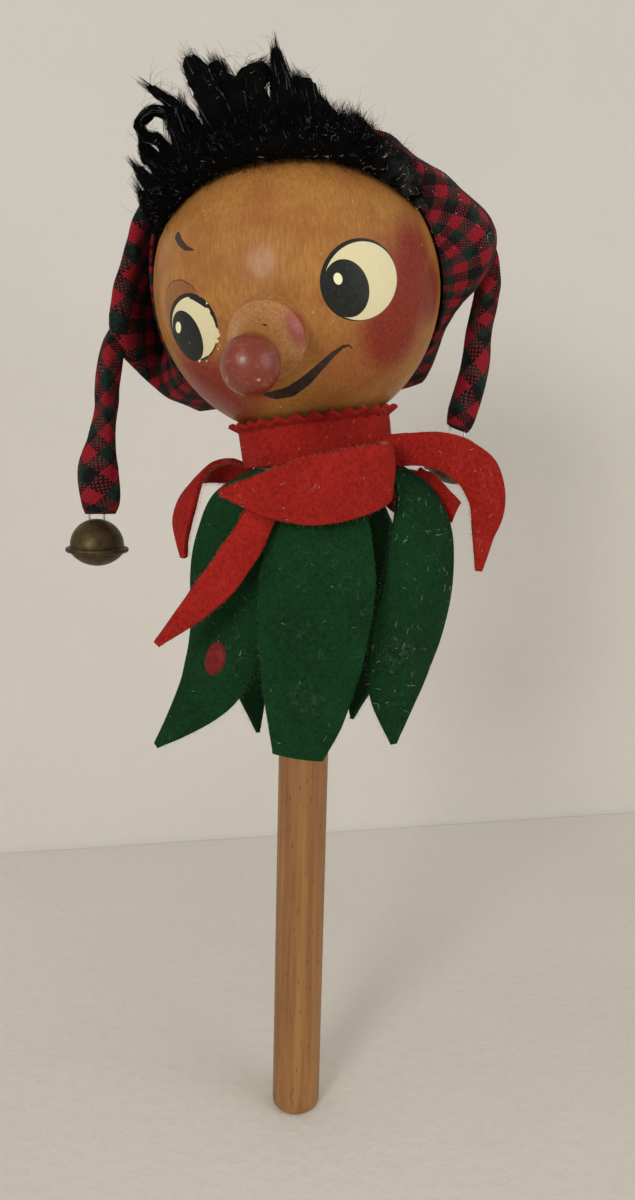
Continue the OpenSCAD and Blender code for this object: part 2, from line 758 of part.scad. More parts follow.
// Felt pieces are placed from the neck's foot: x and y from the stick's axis, z from the foot.
// Their places and widths are written for a neck of 37, and leaves of 74 and 29; they follow
// the named sizes. Each starts at a root on the neck's side, round degrees to the right of the front
neck_more = neck_d / 37;
leaf_longer = leaf_l / 74;
leaf_wider = leaf_w / 29;
function from_neck(p, down = neck_more) =
    [for (v = p) [v[0] * neck_more, v[1] * neck_more, neck_foot + v[2] * down]];
function root(round, h, over = 0) =
    let (z = neck_foot + h, r = neck_r + soft_gap + felt_t / 2 + over)
    [ball_c[0] + (ball_c[2] - z) * tan(neck_lean) + r / cos(neck_lean) * sin(round), -r * cos(round), z];
function same(v, n) = [for (i = [1 : n]) v];
over_band = felt_t + 0.1;
pink_deep = 1.5;
leaf_left_path = concat([root(-44, 3)], from_neck([[-17, -18.2, -6], [-19.6, -18.7, -21], [-21, -19, -38],
    [-26, -20, -55], [-40, -19, -72]], leaf_longer));
leaf_left_w = leaf_wider * [8, 21, 27.6, 26, 18, 0.8];
leaf_left_across = [0.88, -0.47, 0];
leaf_left_cup = 0.1;

module leaf(path, w, across, cup = 0.1) {
    color("darkgreen") felt(path, w, across, cup, 14);
}
module leaf_left() {
    leaf(leaf_left_path, leaf_left_w, same(leaf_left_across, 6), leaf_left_cup);
}
module leaf_centre() {
    leaf(concat([root(6, 4)], from_neck([[4.2, -24.2, -6], [3.8, -27.5, -22], [3.4, -29, -42],
        [2.5, -29, -58], [-1, -28, -70.5]], leaf_longer)), leaf_wider * [8, 18, 26, 29, 26, 15],
        same([1, 0, 0], 6), 0.08);
}
module leaf_right() {
    leaf(concat([root(68, 6)], from_neck([[27.2, -11.6, 0], [29.4, -14, -9], [29, -15, -24],
        [27.5, -15, -40], [26, -14, -56], [25, -13.5, -72]], leaf_longer)),
        leaf_wider * [8, 12, 19, 25, 26, 18, 0.8],
        concat([[0.5, 0.87, 0], [0.75, 0.66, 0]], same([0.88, 0.47, 0], 5)), 0.12);
}
module leaf_back_left() {
    leaf(concat([root(-132, 3)], from_neck([[-19, 18, -8], [-24, 21, -26], [-22, 20, -46],
        [-18, 17, -62], [-15.5, 14, -78.5]], leaf_longer)), leaf_wider * [8, 18, 24, 23, 16, 0.8],
        same([0.66, 0.75, 0], 6), -0.1);
}
module leaf_back_right() {
    leaf(concat([root(138, 4)], from_neck([[19, 20, -8], [23, 23, -26], [21, 22, -46], [18, 19, -60],
        [16, 16, -74]], leaf_longer)), leaf_wider * [8, 18, 24, 23, 16, 0.8], same([0.7, -0.71, 0], 6), -0.1);
}
module leaf_button() {
    u = 3.45; // place along the leaf's path, counted in its points
    out = unit(cross([0, 0, -1], leaf_left_across));
    off = leaf_left_cup * curve(leaf_left_w, u) + felt_t / 2 + 1.5 * soft_gap;
    seat = curve(leaf_left_path, u) + out * off;
    button_h = 1.8;
    ball = (pow(button_d / 2, 2) + button_h * button_h) / (2 * button_h);
    color("brown") translate(seat) rotate([90, 0, atan2(out[0], -out[1])]) rotate_extrude() intersection() {
        translate([0, button_h - ball]) circle(ball);
        square([button_d, button_h]);
    }
}
module collar_point(path, w, across, cup) {
    color("crimson") felt(path, w * neck_more, across, cup, 12, 5);
}
module collar_front_point() {
    collar_point(concat([root(47, 9, over_band - 0.4)], from_neck([[18, -27, 5.4], [5, -32, 1.5],
        [-8, -32, -0.3], [-22.5, -30, -0.3]])), [10, 16.5, 16.5, 12, 1], same([0, 0, -1], 5), 0.08);
}
module collar_left_point() {
    collar_point(concat([root(-27, 4, 2.6)], from_neck([[-12, -28.4, -5], [-18.5, -30.8, -17],
        [-27, -32, -28], [-38.5, -32, -39.5]])), [7, 8.5, 10, 8, 1], same([0.76, 0, -0.65], 5), 0.1);
}
module collar_back_left_point() {
    collar_point(concat([root(-96, 1, 1.2)], from_neck([[-24, -1, 3], [-30.5, -3, -0.5],
        [-34.5, -4, -10], [-34.2, -4, -20.4]])), [7, 8.5, 9, 8, 1.2],
        [[0, -0.5, 0.85], [0.2, -0.7, 0.7], [0.5, -0.75, 0.4], [0.6, -0.8, 0], [0.6, -0.8, 0]], 0.1);
}
module collar_right_point() {
    collar_point(concat([root(60, 11, over_band - felt_t / 2)], from_neck([[34, -13.5, 11.5],
        [44.5, -14, 6.8], [48.6, -13.5, -2.5], [48, -13, -11], [47.2, -13, -21]])), [7, 9, 10.5, 10.2, 7.5, 1],
        [[0, 0, 1], [0.2, 0, 1], [0.7, 0, 0.7], [1, 0, 0.1], [1, 0, -0.1], [1, 0, 0]], 0.1);
}
module collar_back_right_point() {
    collar_point(concat([root(95, 3, 2)], from_neck([[27.6, 0, 0], [31.8, -1.5, -2], [36.5, -3, -4],
        [42, -5, -6]])), [8, 13, 14, 11, 5],
        [[0.1, 0, 1], [0.4, 0.1, 0.9], [0.5, 0.1, 0.85], [0.5, 0.1, 0.85], [0.5, 0.1, 0.85]], 0.1);
}

// A bell's parts are drawn with the top of the dome at the origin
module bell_place(end) {
    translate(end - [0, 0, wire_l]) children();
}
function arc_rise(r, h, x) =
    let (big = (r * r + h * h) / (2 * h)) sqrt(big * big - x * x) - (big - h);
module dome_outline(r, h) {
    wall = max(0, h - r);
    square([r, wall + 0.01]);
    translate([0, wall]) intersection() {
        circle(r);
        square(r);
    }
}
// Half of the section of a bell's rolled rim, above its middle
module rim_half() {
    square([rim_r - rim_t / 2, rim_t / 2]);
    translate([rim_r - rim_t / 2, 0]) intersection() {
        circle(rim_t / 2);
        square(rim_t / 2);
    }
}
module bell_dome(end) {
    color("darkkhaki") bell_place(end) difference() {
        translate([0, 0, -bell_dome_h]) rotate_extrude() difference() {
            union() {
                dome_outline(bell_r, bell_dome_h);
                rim_half();
            }
            translate([0, -0.01]) dome_outline(bell_r - bell_t, bell_dome_h - bell_t);
        }
        for (x = [-wire_spread, wire_spread])
            translate([x, 0, -bell_r / 2]) cylinder(d = wire_d + 2 * seat_gap, h = bell_r, $fn = 24);
    }
}
module base_outline(r, h) {
    big = (r * r + h * h) / (2 * h);
    intersection() {
        translate([0, big - h]) circle(big);
        translate([0, -h]) square([r, h]);
    }
}
module bell_base(end) {
    color("darkkhaki") bell_place(end) translate([0, 0, -bell_dome_h]) difference() {
        rotate_extrude() difference() {
            union() {
                translate([0, -rim_t / 2]) base_outline(bell_r, bell_base_h);
                mirror([0, 1]) rim_half();
            }
            translate([0, -rim_t / 2 + 0.01]) base_outline(bell_r - bell_t, bell_base_h - bell_t);
            translate([0, -rim_t / 2]) square([bell_r - bell_t, rim_t]);
        }
        translate([-bell_r * 0.7, -bell_slot / 2, -rim_t - bell_base_h])
            cube([bell_r * 1.4, bell_slot, bell_base_h + 0.6]);
    }
}
// The staple's legs pass through the dome and end in knobs that hold it
module bell_wire(end) {
    inner_r = bell_r - bell_t;
    knob_z = sqrt(inner_r * inner_r - wire_spread * wire_spread) - bell_r - wire_knob_d / 2;
    top = wire_l + wire_in;
    color("silver") bell_place(end) {
        for (x = [-wire_spread, wire_spread]) translate([x, 0, 0]) {
            translate([0, 0, knob_z]) cylinder(d = wire_d, h = top - knob_z, $fn = 24);
            translate([0, 0, top]) sphere(d = wire_d, $fn = 24);
            translate([0, 0, knob_z]) sphere(d = wire_knob_d, $fn = 24);
        }
        translate([0, 0, top]) rotate([0, 90, 0])
            cylinder(d = wire_d, h = 2 * wire_spread, center = true, $fn = 24);
    }
}
module bell_pellet(end) {
    floor_z = -bell_dome_h - rim_t / 2 - bell_base_h + bell_t;
    color("dimgray") bell_place(end) translate([0, 0, floor_z + soft_gap + pellet_d / 2]) sphere(d = pellet_d);
}
module left_bell_dome() {
    bell_dome(left_end);
}
module left_bell_base() {
    bell_base(left_end);
}
module left_bell_wire() {
    bell_wire(left_end);
}
module left_bell_pellet() {
    bell_pellet(left_end);
}
module right_bell_dome() {
    bell_dome(right_end);
}
module right_bell_base() {
    bell_base(right_end);
}
module right_bell_wire() {
    bell_wire(right_end);
}
module right_bell_pellet() {
    bell_pellet(right_end);
}

handle_stick();
drive_shaft();
shaft_pin();
thrust_washer();
retaining_collar();
collar_screw();
drive_worm();
neck_block();
neck_bush();
face_shell();
rear_cap();
nose();
movement_bedplate();
music_comb();
comb_clamp();
gear_bracket();
plain_bracket();
movement_screws();
cylinder_drum();
cylinder_arbor();
cylinder_gear();
hat_hood();
left_hat_point();
right_hat_point();
hair_fringe();
neck_band();
collar_front_point();
collar_left_point();
collar_back_left_point();
collar_right_point();
collar_back_right_point();
leaf_left();
leaf_centre();
leaf_right();
leaf_back_left();
leaf_back_right();
leaf_button();
left_bell_dome();
left_bell_base();
left_bell_wire();
left_bell_pellet();
right_bell_dome();
right_bell_base();
right_bell_wire();
right_bell_pellet();
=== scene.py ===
# %% [markdown]
# # A jester that whirls on a stick
# The toy is a turned wooden ball on a beech stick, with a painted face, a checked cloth hood whose two
# points end in bells, a tuft of black wool and a collar of red and green felt. The construction is already
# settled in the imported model. Here each piece gets its finish, and the soft pieces get their real form.
# The frame is loaded first, because every place in this script is read from it.

# %% The frame and its box
import math
import random

import bmesh
import bpy
from mathutils import Euler, Matrix, Vector, kdtree, noise


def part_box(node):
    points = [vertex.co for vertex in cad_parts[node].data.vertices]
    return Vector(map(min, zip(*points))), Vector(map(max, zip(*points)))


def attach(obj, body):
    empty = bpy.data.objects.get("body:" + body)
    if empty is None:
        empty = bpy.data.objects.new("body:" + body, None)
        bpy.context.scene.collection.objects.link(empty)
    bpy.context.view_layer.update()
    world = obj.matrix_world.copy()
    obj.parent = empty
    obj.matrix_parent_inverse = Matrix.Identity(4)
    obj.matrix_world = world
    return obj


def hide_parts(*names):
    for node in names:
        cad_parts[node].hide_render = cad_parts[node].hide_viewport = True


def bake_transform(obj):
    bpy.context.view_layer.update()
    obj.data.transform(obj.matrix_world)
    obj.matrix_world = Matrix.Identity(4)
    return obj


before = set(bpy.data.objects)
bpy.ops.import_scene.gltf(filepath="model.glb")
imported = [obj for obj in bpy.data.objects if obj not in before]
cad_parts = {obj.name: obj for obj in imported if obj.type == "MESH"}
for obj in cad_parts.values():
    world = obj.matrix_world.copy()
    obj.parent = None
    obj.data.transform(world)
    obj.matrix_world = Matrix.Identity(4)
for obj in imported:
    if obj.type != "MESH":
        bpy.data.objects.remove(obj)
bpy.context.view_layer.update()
MM = 0.001

# %% [markdown]
# ## Camera
# The photograph was taken from a little above the middle of the stick, close to it, so that the head is seen
# slightly from below and the stick slightly from above. The camera's place comes from the ball's outline and
# the stick's taper. It is turned by its own three axes, because the picture leans a little.

# %% Camera
LENS = 27.0
SENSOR = 36.0
CAMERA_PLACE = Vector((0.0, -0.2614, 0.2099))
YAW, PITCH, ROLL = (math.radians(a) for a in (0.68, 9.68, 1.42))


def camera_turn(yaw, pitch, roll):
    """Rotation of a camera that looks along +Y, then down by pitch, then leans by roll."""
    look = Vector((math.sin(yaw) * math.cos(pitch), math.cos(yaw) * math.cos(pitch), -math.sin(pitch)))
    right = Vector((math.cos(yaw), -math.sin(yaw), 0.0))
    up = right.cross(look)
    leaning = right * math.cos(roll) + up * math.sin(roll)
    upright = up * math.cos(roll) - right * math.sin(roll)
    return Matrix((leaning, upright, -look)).transposed()


def in_scene(name, data):
    """A new object of the scene that holds the data."""
    made = bpy.data.objects.new(name, data)
    bpy.context.scene.collection.objects.link(made)
    return made


camera_data = bpy.data.cameras.new("camera")
camera_data.lens = LENS
camera_data.sensor_width = SENSOR
camera_data.sensor_fit = "AUTO"
camera_data.clip_start = 0.01
camera = in_scene("camera", camera_data)
camera.matrix_world = Matrix.Translation(CAMERA_PLACE) @ camera_turn(YAW, PITCH, ROLL).to_4x4()
bpy.context.scene.camera = camera
bpy.context.scene.view_settings.view_transform = "Standard"
print("camera at", [round(v, 3) for v in CAMERA_PLACE])

# %% [markdown]
# ## Writing materials as expressions
# A node tree is easier to read as a line of arithmetic. The class below wraps one socket, and its operators
# add Math nodes. Everything that isn't arithmetic comes from one method, which takes a node's type, its
# settings and the values or links of its sockets.

# %% Shader expressions
class Shade:
    """One socket of a material's node tree, with arithmetic."""

    def __init__(self, tree, socket):
        self.tree = tree
        self.socket = socket

    def node(self, kind, inputs=None, out=0, **settings):
        """Adds a node: settings first, then its inputs by name or number, and returns one output."""
        made = self.tree.nodes.new("ShaderNode" + kind)
        for key, value in settings.items():
            setattr(made, key, value)
        for key, value in (inputs or {}).items():
            feed(self.tree, made.inputs[key], value)
        return Shade(self.tree, made.outputs[out])

    def math(self, operation, *values):
        return self.node("Math", dict(enumerate((self, *values))), operation=operation)

    def vmath(self, operation, *values, out=0):
        return self.node("VectorMath", dict(enumerate((self, *values))), out=out, operation=operation)

    def dot(self, way):
        """How far a place lies along a way."""
        return self.vmath("DOT_PRODUCT", tuple(way), out=1)

    def __add__(self, other):
        return self.math("ADD", other)

    def __sub__(self, other):
        return self.math("SUBTRACT", other)

    def __rsub__(self, other):
        return self.node("Math", {0: other, 1: self}, operation="SUBTRACT")

    def __mul__(self, other):
        return self.math("MULTIPLY", other)

    def __truediv__(self, other):
        return self.math("DIVIDE", other)

    def __pow__(self, other):
        return self.math("POWER", other)

    __radd__ = __add__
    __rmul__ = __mul__

    def clamp(self):
        return self.node("Clamp", {0: self})

    def step(self, low, high):
        """0 below low, 1 above high, smooth between; high may be the lower one."""
        smooth = self.node(
            "MapRange",
            {"Value": self, "From Min": min(low, high), "From Max": max(low, high)},
            interpolation_type="SMOOTHSTEP",
        )
        return smooth if low < high else 1 - smooth

    def xyz(self):
        split = self.node("SeparateXYZ", {0: self}).socket.node
        return [Shade(self.tree, split.outputs[i]) for i in range(3)]


# %% Colours, links and mixing
def srgb(text):
    """A colour written as on screen, such as c8202a, in the linear values that the shader takes."""
    parts = [int(text[i : i + 2], 16) / 255 for i in (0, 2, 4)]
    return (*(p / 12.92 if p < 0.04045 else ((p + 0.055) / 1.055) ** 2.4 for p in parts), 1.0)


def feed(tree, socket, value):
    """Links a Shade to a socket, or sets the socket's value, which for a colour is text."""
    if isinstance(value, Shade):
        tree.links.new(value.socket, socket)
    else:
        socket.default_value = srgb(value) if isinstance(value, str) else value


def mix(mask, below, above):
    """The colour below, covered by the colour above where the mask is 1."""
    return mask.node("Mix", {0: mask, 6: below, 7: above}, out=2, data_type="RGBA")


# %% Materials and their noise
def finish(name, paint, **fixed):
    """A material whose Principled sockets are set by paint(start) and by fixed numbers."""
    material = bpy.data.materials.new(name)
    material.use_nodes = True
    tree = material.node_tree
    sockets = tree.nodes["Principled BSDF"].inputs
    start = Shade(tree, tree.nodes.new("ShaderNodeTexCoord").outputs["Object"])
    for key, value in fixed.items():
        feed(tree, sockets[key.replace("_", " ")], value)
    for key, value in paint(start).items():
        if key == "Bump":
            height, depth = value
            key = "Normal"
            value = start.node("Bump", {"Height": height, "Strength": 1.0, "Distance": depth})
        feed(tree, sockets[key], value)
    return material


def cloud(place, size, detail=4.0, rough=0.55, stretch=None, out=0):
    """Noise with features of the size given, in metres; stretch lengthens them along an axis."""
    if stretch:
        place = place.vmath("MULTIPLY", tuple(1.0 / s for s in stretch))
    sockets = {"Vector": place, "Scale": 1.0 / size, "Detail": detail, "Roughness": rough}
    return place.node("TexNoise", sockets, out=out)


def scattered(place, scale):
    """Distance from the nearest of many points that are strewn over a piece."""
    return place.node("TexVoronoi", {"Vector": place, "Scale": scale})


def away_from(place, spot):
    """Distance from a spot, both in millimetres."""
    return place.vmath("DISTANCE", tuple(Vector(spot) * MM), out=1) / MM


print("shader helpers ready")

# %% [markdown]
# ## Table, wall and light
# The toy was photographed in front of a white wall, on a white table. Both are plain planes here, and the
# joint between them runs behind the toy as the line in the photograph says. The light is one soft lamp above
# the camera and to its left, a wider and weaker one from the right and an even glow all round, so that
# shadows stay faint.

# %% Stage
WALL_MIDDLE = 0.205
WALL_SLOPE = 0.20
HALF = 2.5
EDGE_GAP = 0.0015


def to_object(bm, name):
    """Ends a bmesh and returns its object, at the origin, with smooth faces."""
    mesh = bpy.data.meshes.new(name)
    for face in bm.faces:
        face.smooth = True
    bm.to_mesh(mesh)
    bm.free()
    return in_scene(name, mesh)


def plane_of(name, corners):
    """A flat piece of the stage through four corners."""
    bm = bmesh.new()
    bm.faces.new([bm.verts.new(c) for c in corners])
    return to_object(bm, name)


def wall_foot(x, gap=0.0):
    """Point of the line where the wall meets the table, which isn't square to the picture."""
    return Vector((x, WALL_MIDDLE + WALL_SLOPE * x - gap, 0.0))


step_down = Vector((0, 0, -EDGE_GAP))
near = [(-HALF, -HALF, 0), (HALF, -HALF, 0)]
table = plane_of("table", near + [wall_foot(x, EDGE_GAP) for x in (HALF, -HALF)])
behind_wall = [wall_foot(x, 2 * EDGE_GAP) + step_down for x in (-HALF, HALF)]
far = [Vector((x, HALF, 0)) + step_down for x in (HALF, -HALF)]
table_beyond = plane_of("table_beyond", behind_wall + far)
left_foot, right_foot = wall_foot(-HALF), wall_foot(HALF)
down, up = Vector((0, 0, -HALF / 5)), Vector((0, 0, 2 * HALF))
wall = plane_of("wall", [left_foot + down, right_foot + down, right_foot + up, left_foot + up])


def paint_table(place):
    grain = cloud(place, 0.004, detail=6)
    shade = mix(cloud(place, 0.25).step(0.3, 0.7), "d6d1c6", "ddd8ce")
    return {"Base Color": mix(grain.step(0.45, 0.75) * 0.15, shade, "c2bcb1"), "Bump": (grain, 0.0003)}


def paint_wall(place):
    grain = cloud(place, 0.006, detail=5)
    shade = mix(cloud(place, 0.3).step(0.3, 0.7), "cdc8bf", "d4cfc6")
    return {"Base Color": mix(grain.step(0.5, 0.8) * 0.10, shade, "c0bab0"), "Bump": (grain, 0.0004)}


def see_through_from_behind(material):
    """Lets the wall be looked through from its back, so that the toy can be seen from all sides."""
    tree = material.node_tree
    back = tree.nodes.new("ShaderNodeNewGeometry").outputs["Backfacing"]
    clear = tree.nodes.new("ShaderNodeBsdfTransparent").outputs["BSDF"]
    either = tree.nodes.new("ShaderNodeMixShader")
    tree.links.new(back, either.inputs[0])
    tree.links.new(tree.nodes["Principled BSDF"].outputs["BSDF"], either.inputs[1])
    tree.links.new(clear, either.inputs[2])
    tree.links.new(either.outputs[0], tree.nodes["Material Output"].inputs["Surface"])
    return material


table_finish = finish("white_table", paint_table, Roughness=0.75)
table.data.materials.append(table_finish)
table_beyond.data.materials.append(table_finish)
wall.data.materials.append(see_through_from_behind(finish("white_wall", paint_wall, Roughness=0.8)))

# %% Light
AIM = Vector((0.0, 0.0, 0.20))


def soft_lamp(name, place, size, power):
    data = bpy.data.lights.new(name, "AREA")
    data.shape = "DISK"
    data.size = size
    data.energy = power
    lamp = in_scene(name, data)
    lamp.location = place
    lamp.rotation_euler = (AIM - Vector(place)).to_track_quat("-Z", "Y").to_euler()


soft_lamp("lamp_above", (-0.46, -0.92, 0.46), 0.36, 5.0)
soft_lamp("lamp_right", (0.9, -0.5, 0.45), 0.9, 3.4)
world = bpy.data.worlds.new("room")
world.use_nodes = True
glow = world.node_tree.nodes["Background"].inputs
glow["Color"].default_value = srgb("f1eeea")
glow["Strength"].default_value = 0.60
bpy.context.scene.world = world
print("stage and light ready")

# %% [markdown]
# ## Places on the toy
# The head's centre, radius and lean are repeated from the construction. A direction on the hood is given by
# two angles: how far it is from the middle of the back of the head, and which way round. The back of the
# hood reaches as far from the head's centre as a few soft bumps say, two of which lean towards its points.

# %% Places
BALL = Vector((-4.6, 0.0, 252.2)) * MM
BALL_R = 39.5 * MM
NECK_FOOT = 198.1 * MM
NECK_LEAN = math.radians(8.5)
HAT_BACK = math.radians(39)
LEFT_FOLD = Vector((-59.9, 14.0, 223.7)) * MM
RIGHT_FOLD = Vector((48.9, 13.0, 252.2)) * MM


def smooth_path(points, place):
    """Point on a smooth curve through the points; place runs from 0 to 1."""
    u = place * (len(points) - 1)
    i = max(0, min(int(u), len(points) - 2))
    f = u - i
    a, b, c, d = (points[max(0, min(k, len(points) - 1))] for k in (i - 1, i, i + 1, i + 2))
    return 0.5 * (b * 2 + (c - a) * f + (a * 2 - b * 5 + c * 4 - d) * f**2 + (b * 3 - a - c * 3 + d) * f**3)


def bump(way, peak, width):
    """1 at the direction peak, falling away over the width in degrees."""
    angle = math.degrees(way.angle(Vector(peak)))
    return math.exp(-((angle / width) ** 2))


def hat_way(away, around):
    """Direction from the head's centre: degrees away from the hood's middle, and around from its top."""
    away, around = math.radians(away), math.radians(around)
    middle = Vector((0, math.cos(HAT_BACK), math.sin(HAT_BACK)))
    top = Vector((0, -math.sin(HAT_BACK), math.cos(HAT_BACK)))
    sideways = top * math.cos(around) + Vector((math.sin(around), 0, 0))
    return middle * math.cos(away) + sideways * math.sin(away)


# How far the hood reaches where it has no bump, and its bumps: which way, degrees wide, millimetres high
HOOD_LEAST = 42.1
HOOD_BUMPS = (
    ((0.15, 0.25, 1.0), 30, 6.5),
    ((0.8, 0.3, 0.55), 32, 9.0),
    (RIGHT_FOLD - BALL, 20, (RIGHT_FOLD - BALL).length / MM - HOOD_LEAST),
    ((-0.9, 0.3, 0.3), 30, 8.0),
    (LEFT_FOLD - BALL, 22, (LEFT_FOLD - BALL).length / MM - HOOD_LEAST),
)


def hood_reach(way):
    """How far the hood's back reaches in a direction from the head's centre."""
    reach = HOOD_LEAST
    for peak, width, height in HOOD_BUMPS:
        reach += height * bump(way, peak, width)
    return reach * MM


print("hood reaches", round(hood_reach((RIGHT_FOLD - BALL).normalized()) / MM, 1), "mm at its right fold")

# %% [markdown]
# ## Shared ways of shaping
# Cloth, felt and wool all start as a grid, which is put in place point by point along a path or round the
# head. A grid keeps its rows in order, so its UV map can hold the cloth's real size, and a pattern or a
# thickness can follow.

# %% Grids and paths
FELT_THICK = 1.6 * MM


def draped_grid(across, along, place, size, closed=False):
    """A grid put in place by place(s, t), with s and t from 0 to 1, and with its cloth's size as UV."""
    bm = bmesh.new()
    weave = bm.loops.layers.uv.new("cloth")
    bmesh.ops.create_grid(bm, x_segments=across, y_segments=along, size=0.5)
    for face in bm.faces:
        for loop in face.loops:
            loop[weave].uv = ((loop.vert.co.x + 0.5) * size[0], (loop.vert.co.y + 0.5) * size[1])
    for vert in bm.verts:
        vert.co = place(vert.co.x + 0.5, vert.co.y + 0.5)
    if closed:
        bmesh.ops.remove_doubles(bm, verts=bm.verts, dist=1e-6)
    bmesh.ops.recalc_face_normals(bm, faces=bm.faces)
    return bm


def carry_pattern(bm):
    """Carries the cloth's pattern over to the faces of a cut edge, which start without one."""
    weave = bm.loops.layers.uv.get("cloth")
    if weave is None:
        return
    for face in bm.faces:
        if all(loop[weave].uv.length == 0 for loop in face.loops):
            for loop in face.loops:
                near = [other[weave].uv for other in loop.vert.link_loops if other[weave].uv.length > 0]
                if near:
                    loop[weave].uv = near[0].copy()


def close_ends(bm):
    """Closes the two open ends of a tube."""
    bmesh.ops.holes_fill(bm, edges=[e for e in bm.edges if e.is_boundary])
    bmesh.ops.recalc_face_normals(bm, faces=bm.faces)


def area_of(bm):
    return sum(face.calc_area() for face in bm.faces)


def metres(values):
    """Places or widths that are written in millimetres."""
    return [(Vector(v) if isinstance(v, tuple) else v) * MM for v in values]


def path_length(path):
    return sum((b - a).length for a, b in zip(path, path[1:]))


def way_along(path, t, step=0.02):
    """The direction of a smooth path at a place on it."""
    return (smooth_path(path, min(1, t + step)) - smooth_path(path, max(0, t - step))).normalized()


# %% Thickness and finish
def tree_of(bm):
    """The piece's points, for finding the nearest of them."""
    tree = kdtree.KDTree(len(bm.verts))
    for i, vert in enumerate(bm.verts):
        tree.insert(vert.co, i)
    tree.balance()
    return tree


def pull_in(bm, tree, most, to):
    """Brings points that were thrown further than most from the tree's points back to the distance to."""
    for vert in bm.verts:
        near, _, away = tree.find(vert.co)
        if away > most:
            vert.co = near + (vert.co - near) * (to / away)


def thicken(bm, thick, edge=0.0, at=lambda place: True):
    """Gives a sheet its thickness, with its edges rounded by edge where at(place) says so."""
    tree = tree_of(bm)
    bmesh.ops.solidify(bm, geom=bm.faces[:] + bm.edges[:] + bm.verts[:], thickness=thick)
    pull_in(bm, tree, 1.4 * thick, thick)
    bmesh.ops.recalc_face_normals(bm, faces=bm.faces)
    carry_pattern(bm)
    if edge:
        sharp = [e for e in bm.edges if len(e.link_faces) == 2 and e.calc_face_angle() > math.radians(60)]
        sharp = [e for e in sharp if at(e.verts[0].co) and at(e.verts[1].co)]
        tree = tree_of(bm)
        bmesh.ops.bevel(bm, geom=sharp, offset=edge, segments=2, profile=0.5, affect="EDGES", material=-1)
        pull_in(bm, tree, 2.5 * edge, edge)
    return bm


def roughen(bm, depth, size, seed):
    """Moves each point a little along its normal, by noise with features of the size given."""
    bm.normal_update()
    shift = Vector((seed * 1.7, seed * 0.9, seed * 2.3))
    moved = [(v, v.normal * depth * noise.noise(v.co / size + shift)) for v in bm.verts]
    for vert, step in moved:
        vert.co += step
    return bm


def refinish(node, material):
    """Gives a piece of the construction its finish."""
    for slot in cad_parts[node].material_slots:
        slot.material = material


def put_on(piece, material, body, slot, *nodes):
    """Gives a new piece its finish and its body, and lets it stand for CAD nodes."""
    piece.data.materials.append(material)
    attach(piece, body)
    if nodes:
        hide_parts(*nodes)
    return piece


print("shaping helpers ready")

# %% [markdown]
# ## The painted head
# The ball and the cap behind it are one turned piece of wood, lacquered amber, and the features are painted
# on with a brush. A picture would need its own file and blurs when it is seen close, so the features are
# drawn with distances instead. Each place on the ball is given by two angles from the middle of the face. An
# ellipse is a distance from its centre, and a brush stroke is a distance from a row of short chords.

# %% Places on the face
HEAD_TURN = Euler([math.radians(a) for a in (15.8, -15.0, -12.0)]).to_matrix()
FACE_RIGHT, FACE_FRONT, FACE_UP = (HEAD_TURN @ Vector(way) for way in ((1, 0, 0), (0, -1, 0), (0, 0, 1)))


def on_face(side, rise):
    """Point of the ball, in millimetres from its centre, by degrees to the viewer's right and up."""
    side, rise = math.radians(side), math.radians(rise)
    flat = FACE_FRONT * math.cos(side) + FACE_RIGHT * math.sin(side)
    return (flat * math.cos(rise) + FACE_UP * math.sin(rise)) * BALL_R / MM


def skin_of(place):
    """The place on the ball's surface, in millimetres from its centre."""
    outward = place.vmath("SUBTRACT", tuple(BALL)).vmath("NORMALIZE")
    return outward.node("VectorMath", {0: outward, "Scale": BALL_R / MM}, operation="SCALE")


def oval(skin, middle, tall, wide, lean):
    """Distance from an ellipse's middle as a share of its size, so that 1 is its edge."""
    middle = on_face(*middle)
    out = middle.normalized()
    up = (FACE_UP - out * FACE_UP.dot(out)).normalized()
    right = up.cross(out)
    lean = math.radians(lean)
    long_way = up * math.cos(lean) + right * math.sin(lean)
    short_way = right * math.cos(lean) - up * math.sin(lean)
    off = skin.vmath("SUBTRACT", tuple(middle))
    a, b = off.dot(long_way / tall), off.dot(short_way / wide)
    behind = skin.dot(out / -10).math("MAXIMUM", 0.0)
    return (a * a + b * b).math("SQRT") + behind * 9


def spray(skin, middle, size):
    """Distance from a round spot's middle, as a share of its size."""
    return oval(skin, middle, size, size, 0)


def stroke(skin, points, widths):
    """Distance in millimetres from the edge of a brush stroke; below 0 is inside it."""
    points = [on_face(*p) for p in points]
    nearest = None
    for a, b, wide_a, wide_b in zip(points, points[1:], widths, widths[1:]):
        along = b - a
        off = skin.vmath("SUBTRACT", tuple(a))
        share = (off.dot(along) / along.length_squared).clamp()
        reach = share.node("VectorMath", {0: tuple(along), "Scale": share}, operation="SCALE")
        half_wide = share * (wide_b - wide_a) / 2 + wide_a / 2
        away = off.vmath("SUBTRACT", reach).vmath("LENGTH", out=1) - half_wide
        nearest = away if nearest is None else nearest.math("MINIMUM", away)
    return nearest


print("middle of the face", [round(v, 1) for v in on_face(0, 0)])

# %% Shapes of the painted features
# Each oval: middle, half length and half width in millimetres, and its lean from upright
# Each eye: its white, rim, pupil and light, and how much of the white's edge is chipped off
EYES = [
    (((33.8, 0.1), 9.98, 8.86, 88), ((33.2, 0.7), 10.5, 9.35, 88), ((27.1, -0.6), 6.78, 5.71, -8),
     ((24.8, 3.4), 1.35, 1.08, 0), 0.0),
    (((-34.9, -0.2), 9.65, 8.07, 76), ((-36.0, 1.0), 9.7, 8.2, 76), ((-40.2, -1.6), 6.52, 6.08, 11),
     ((-43.7, 2.2), 1.76, 1.12, 53), 0.16),
]
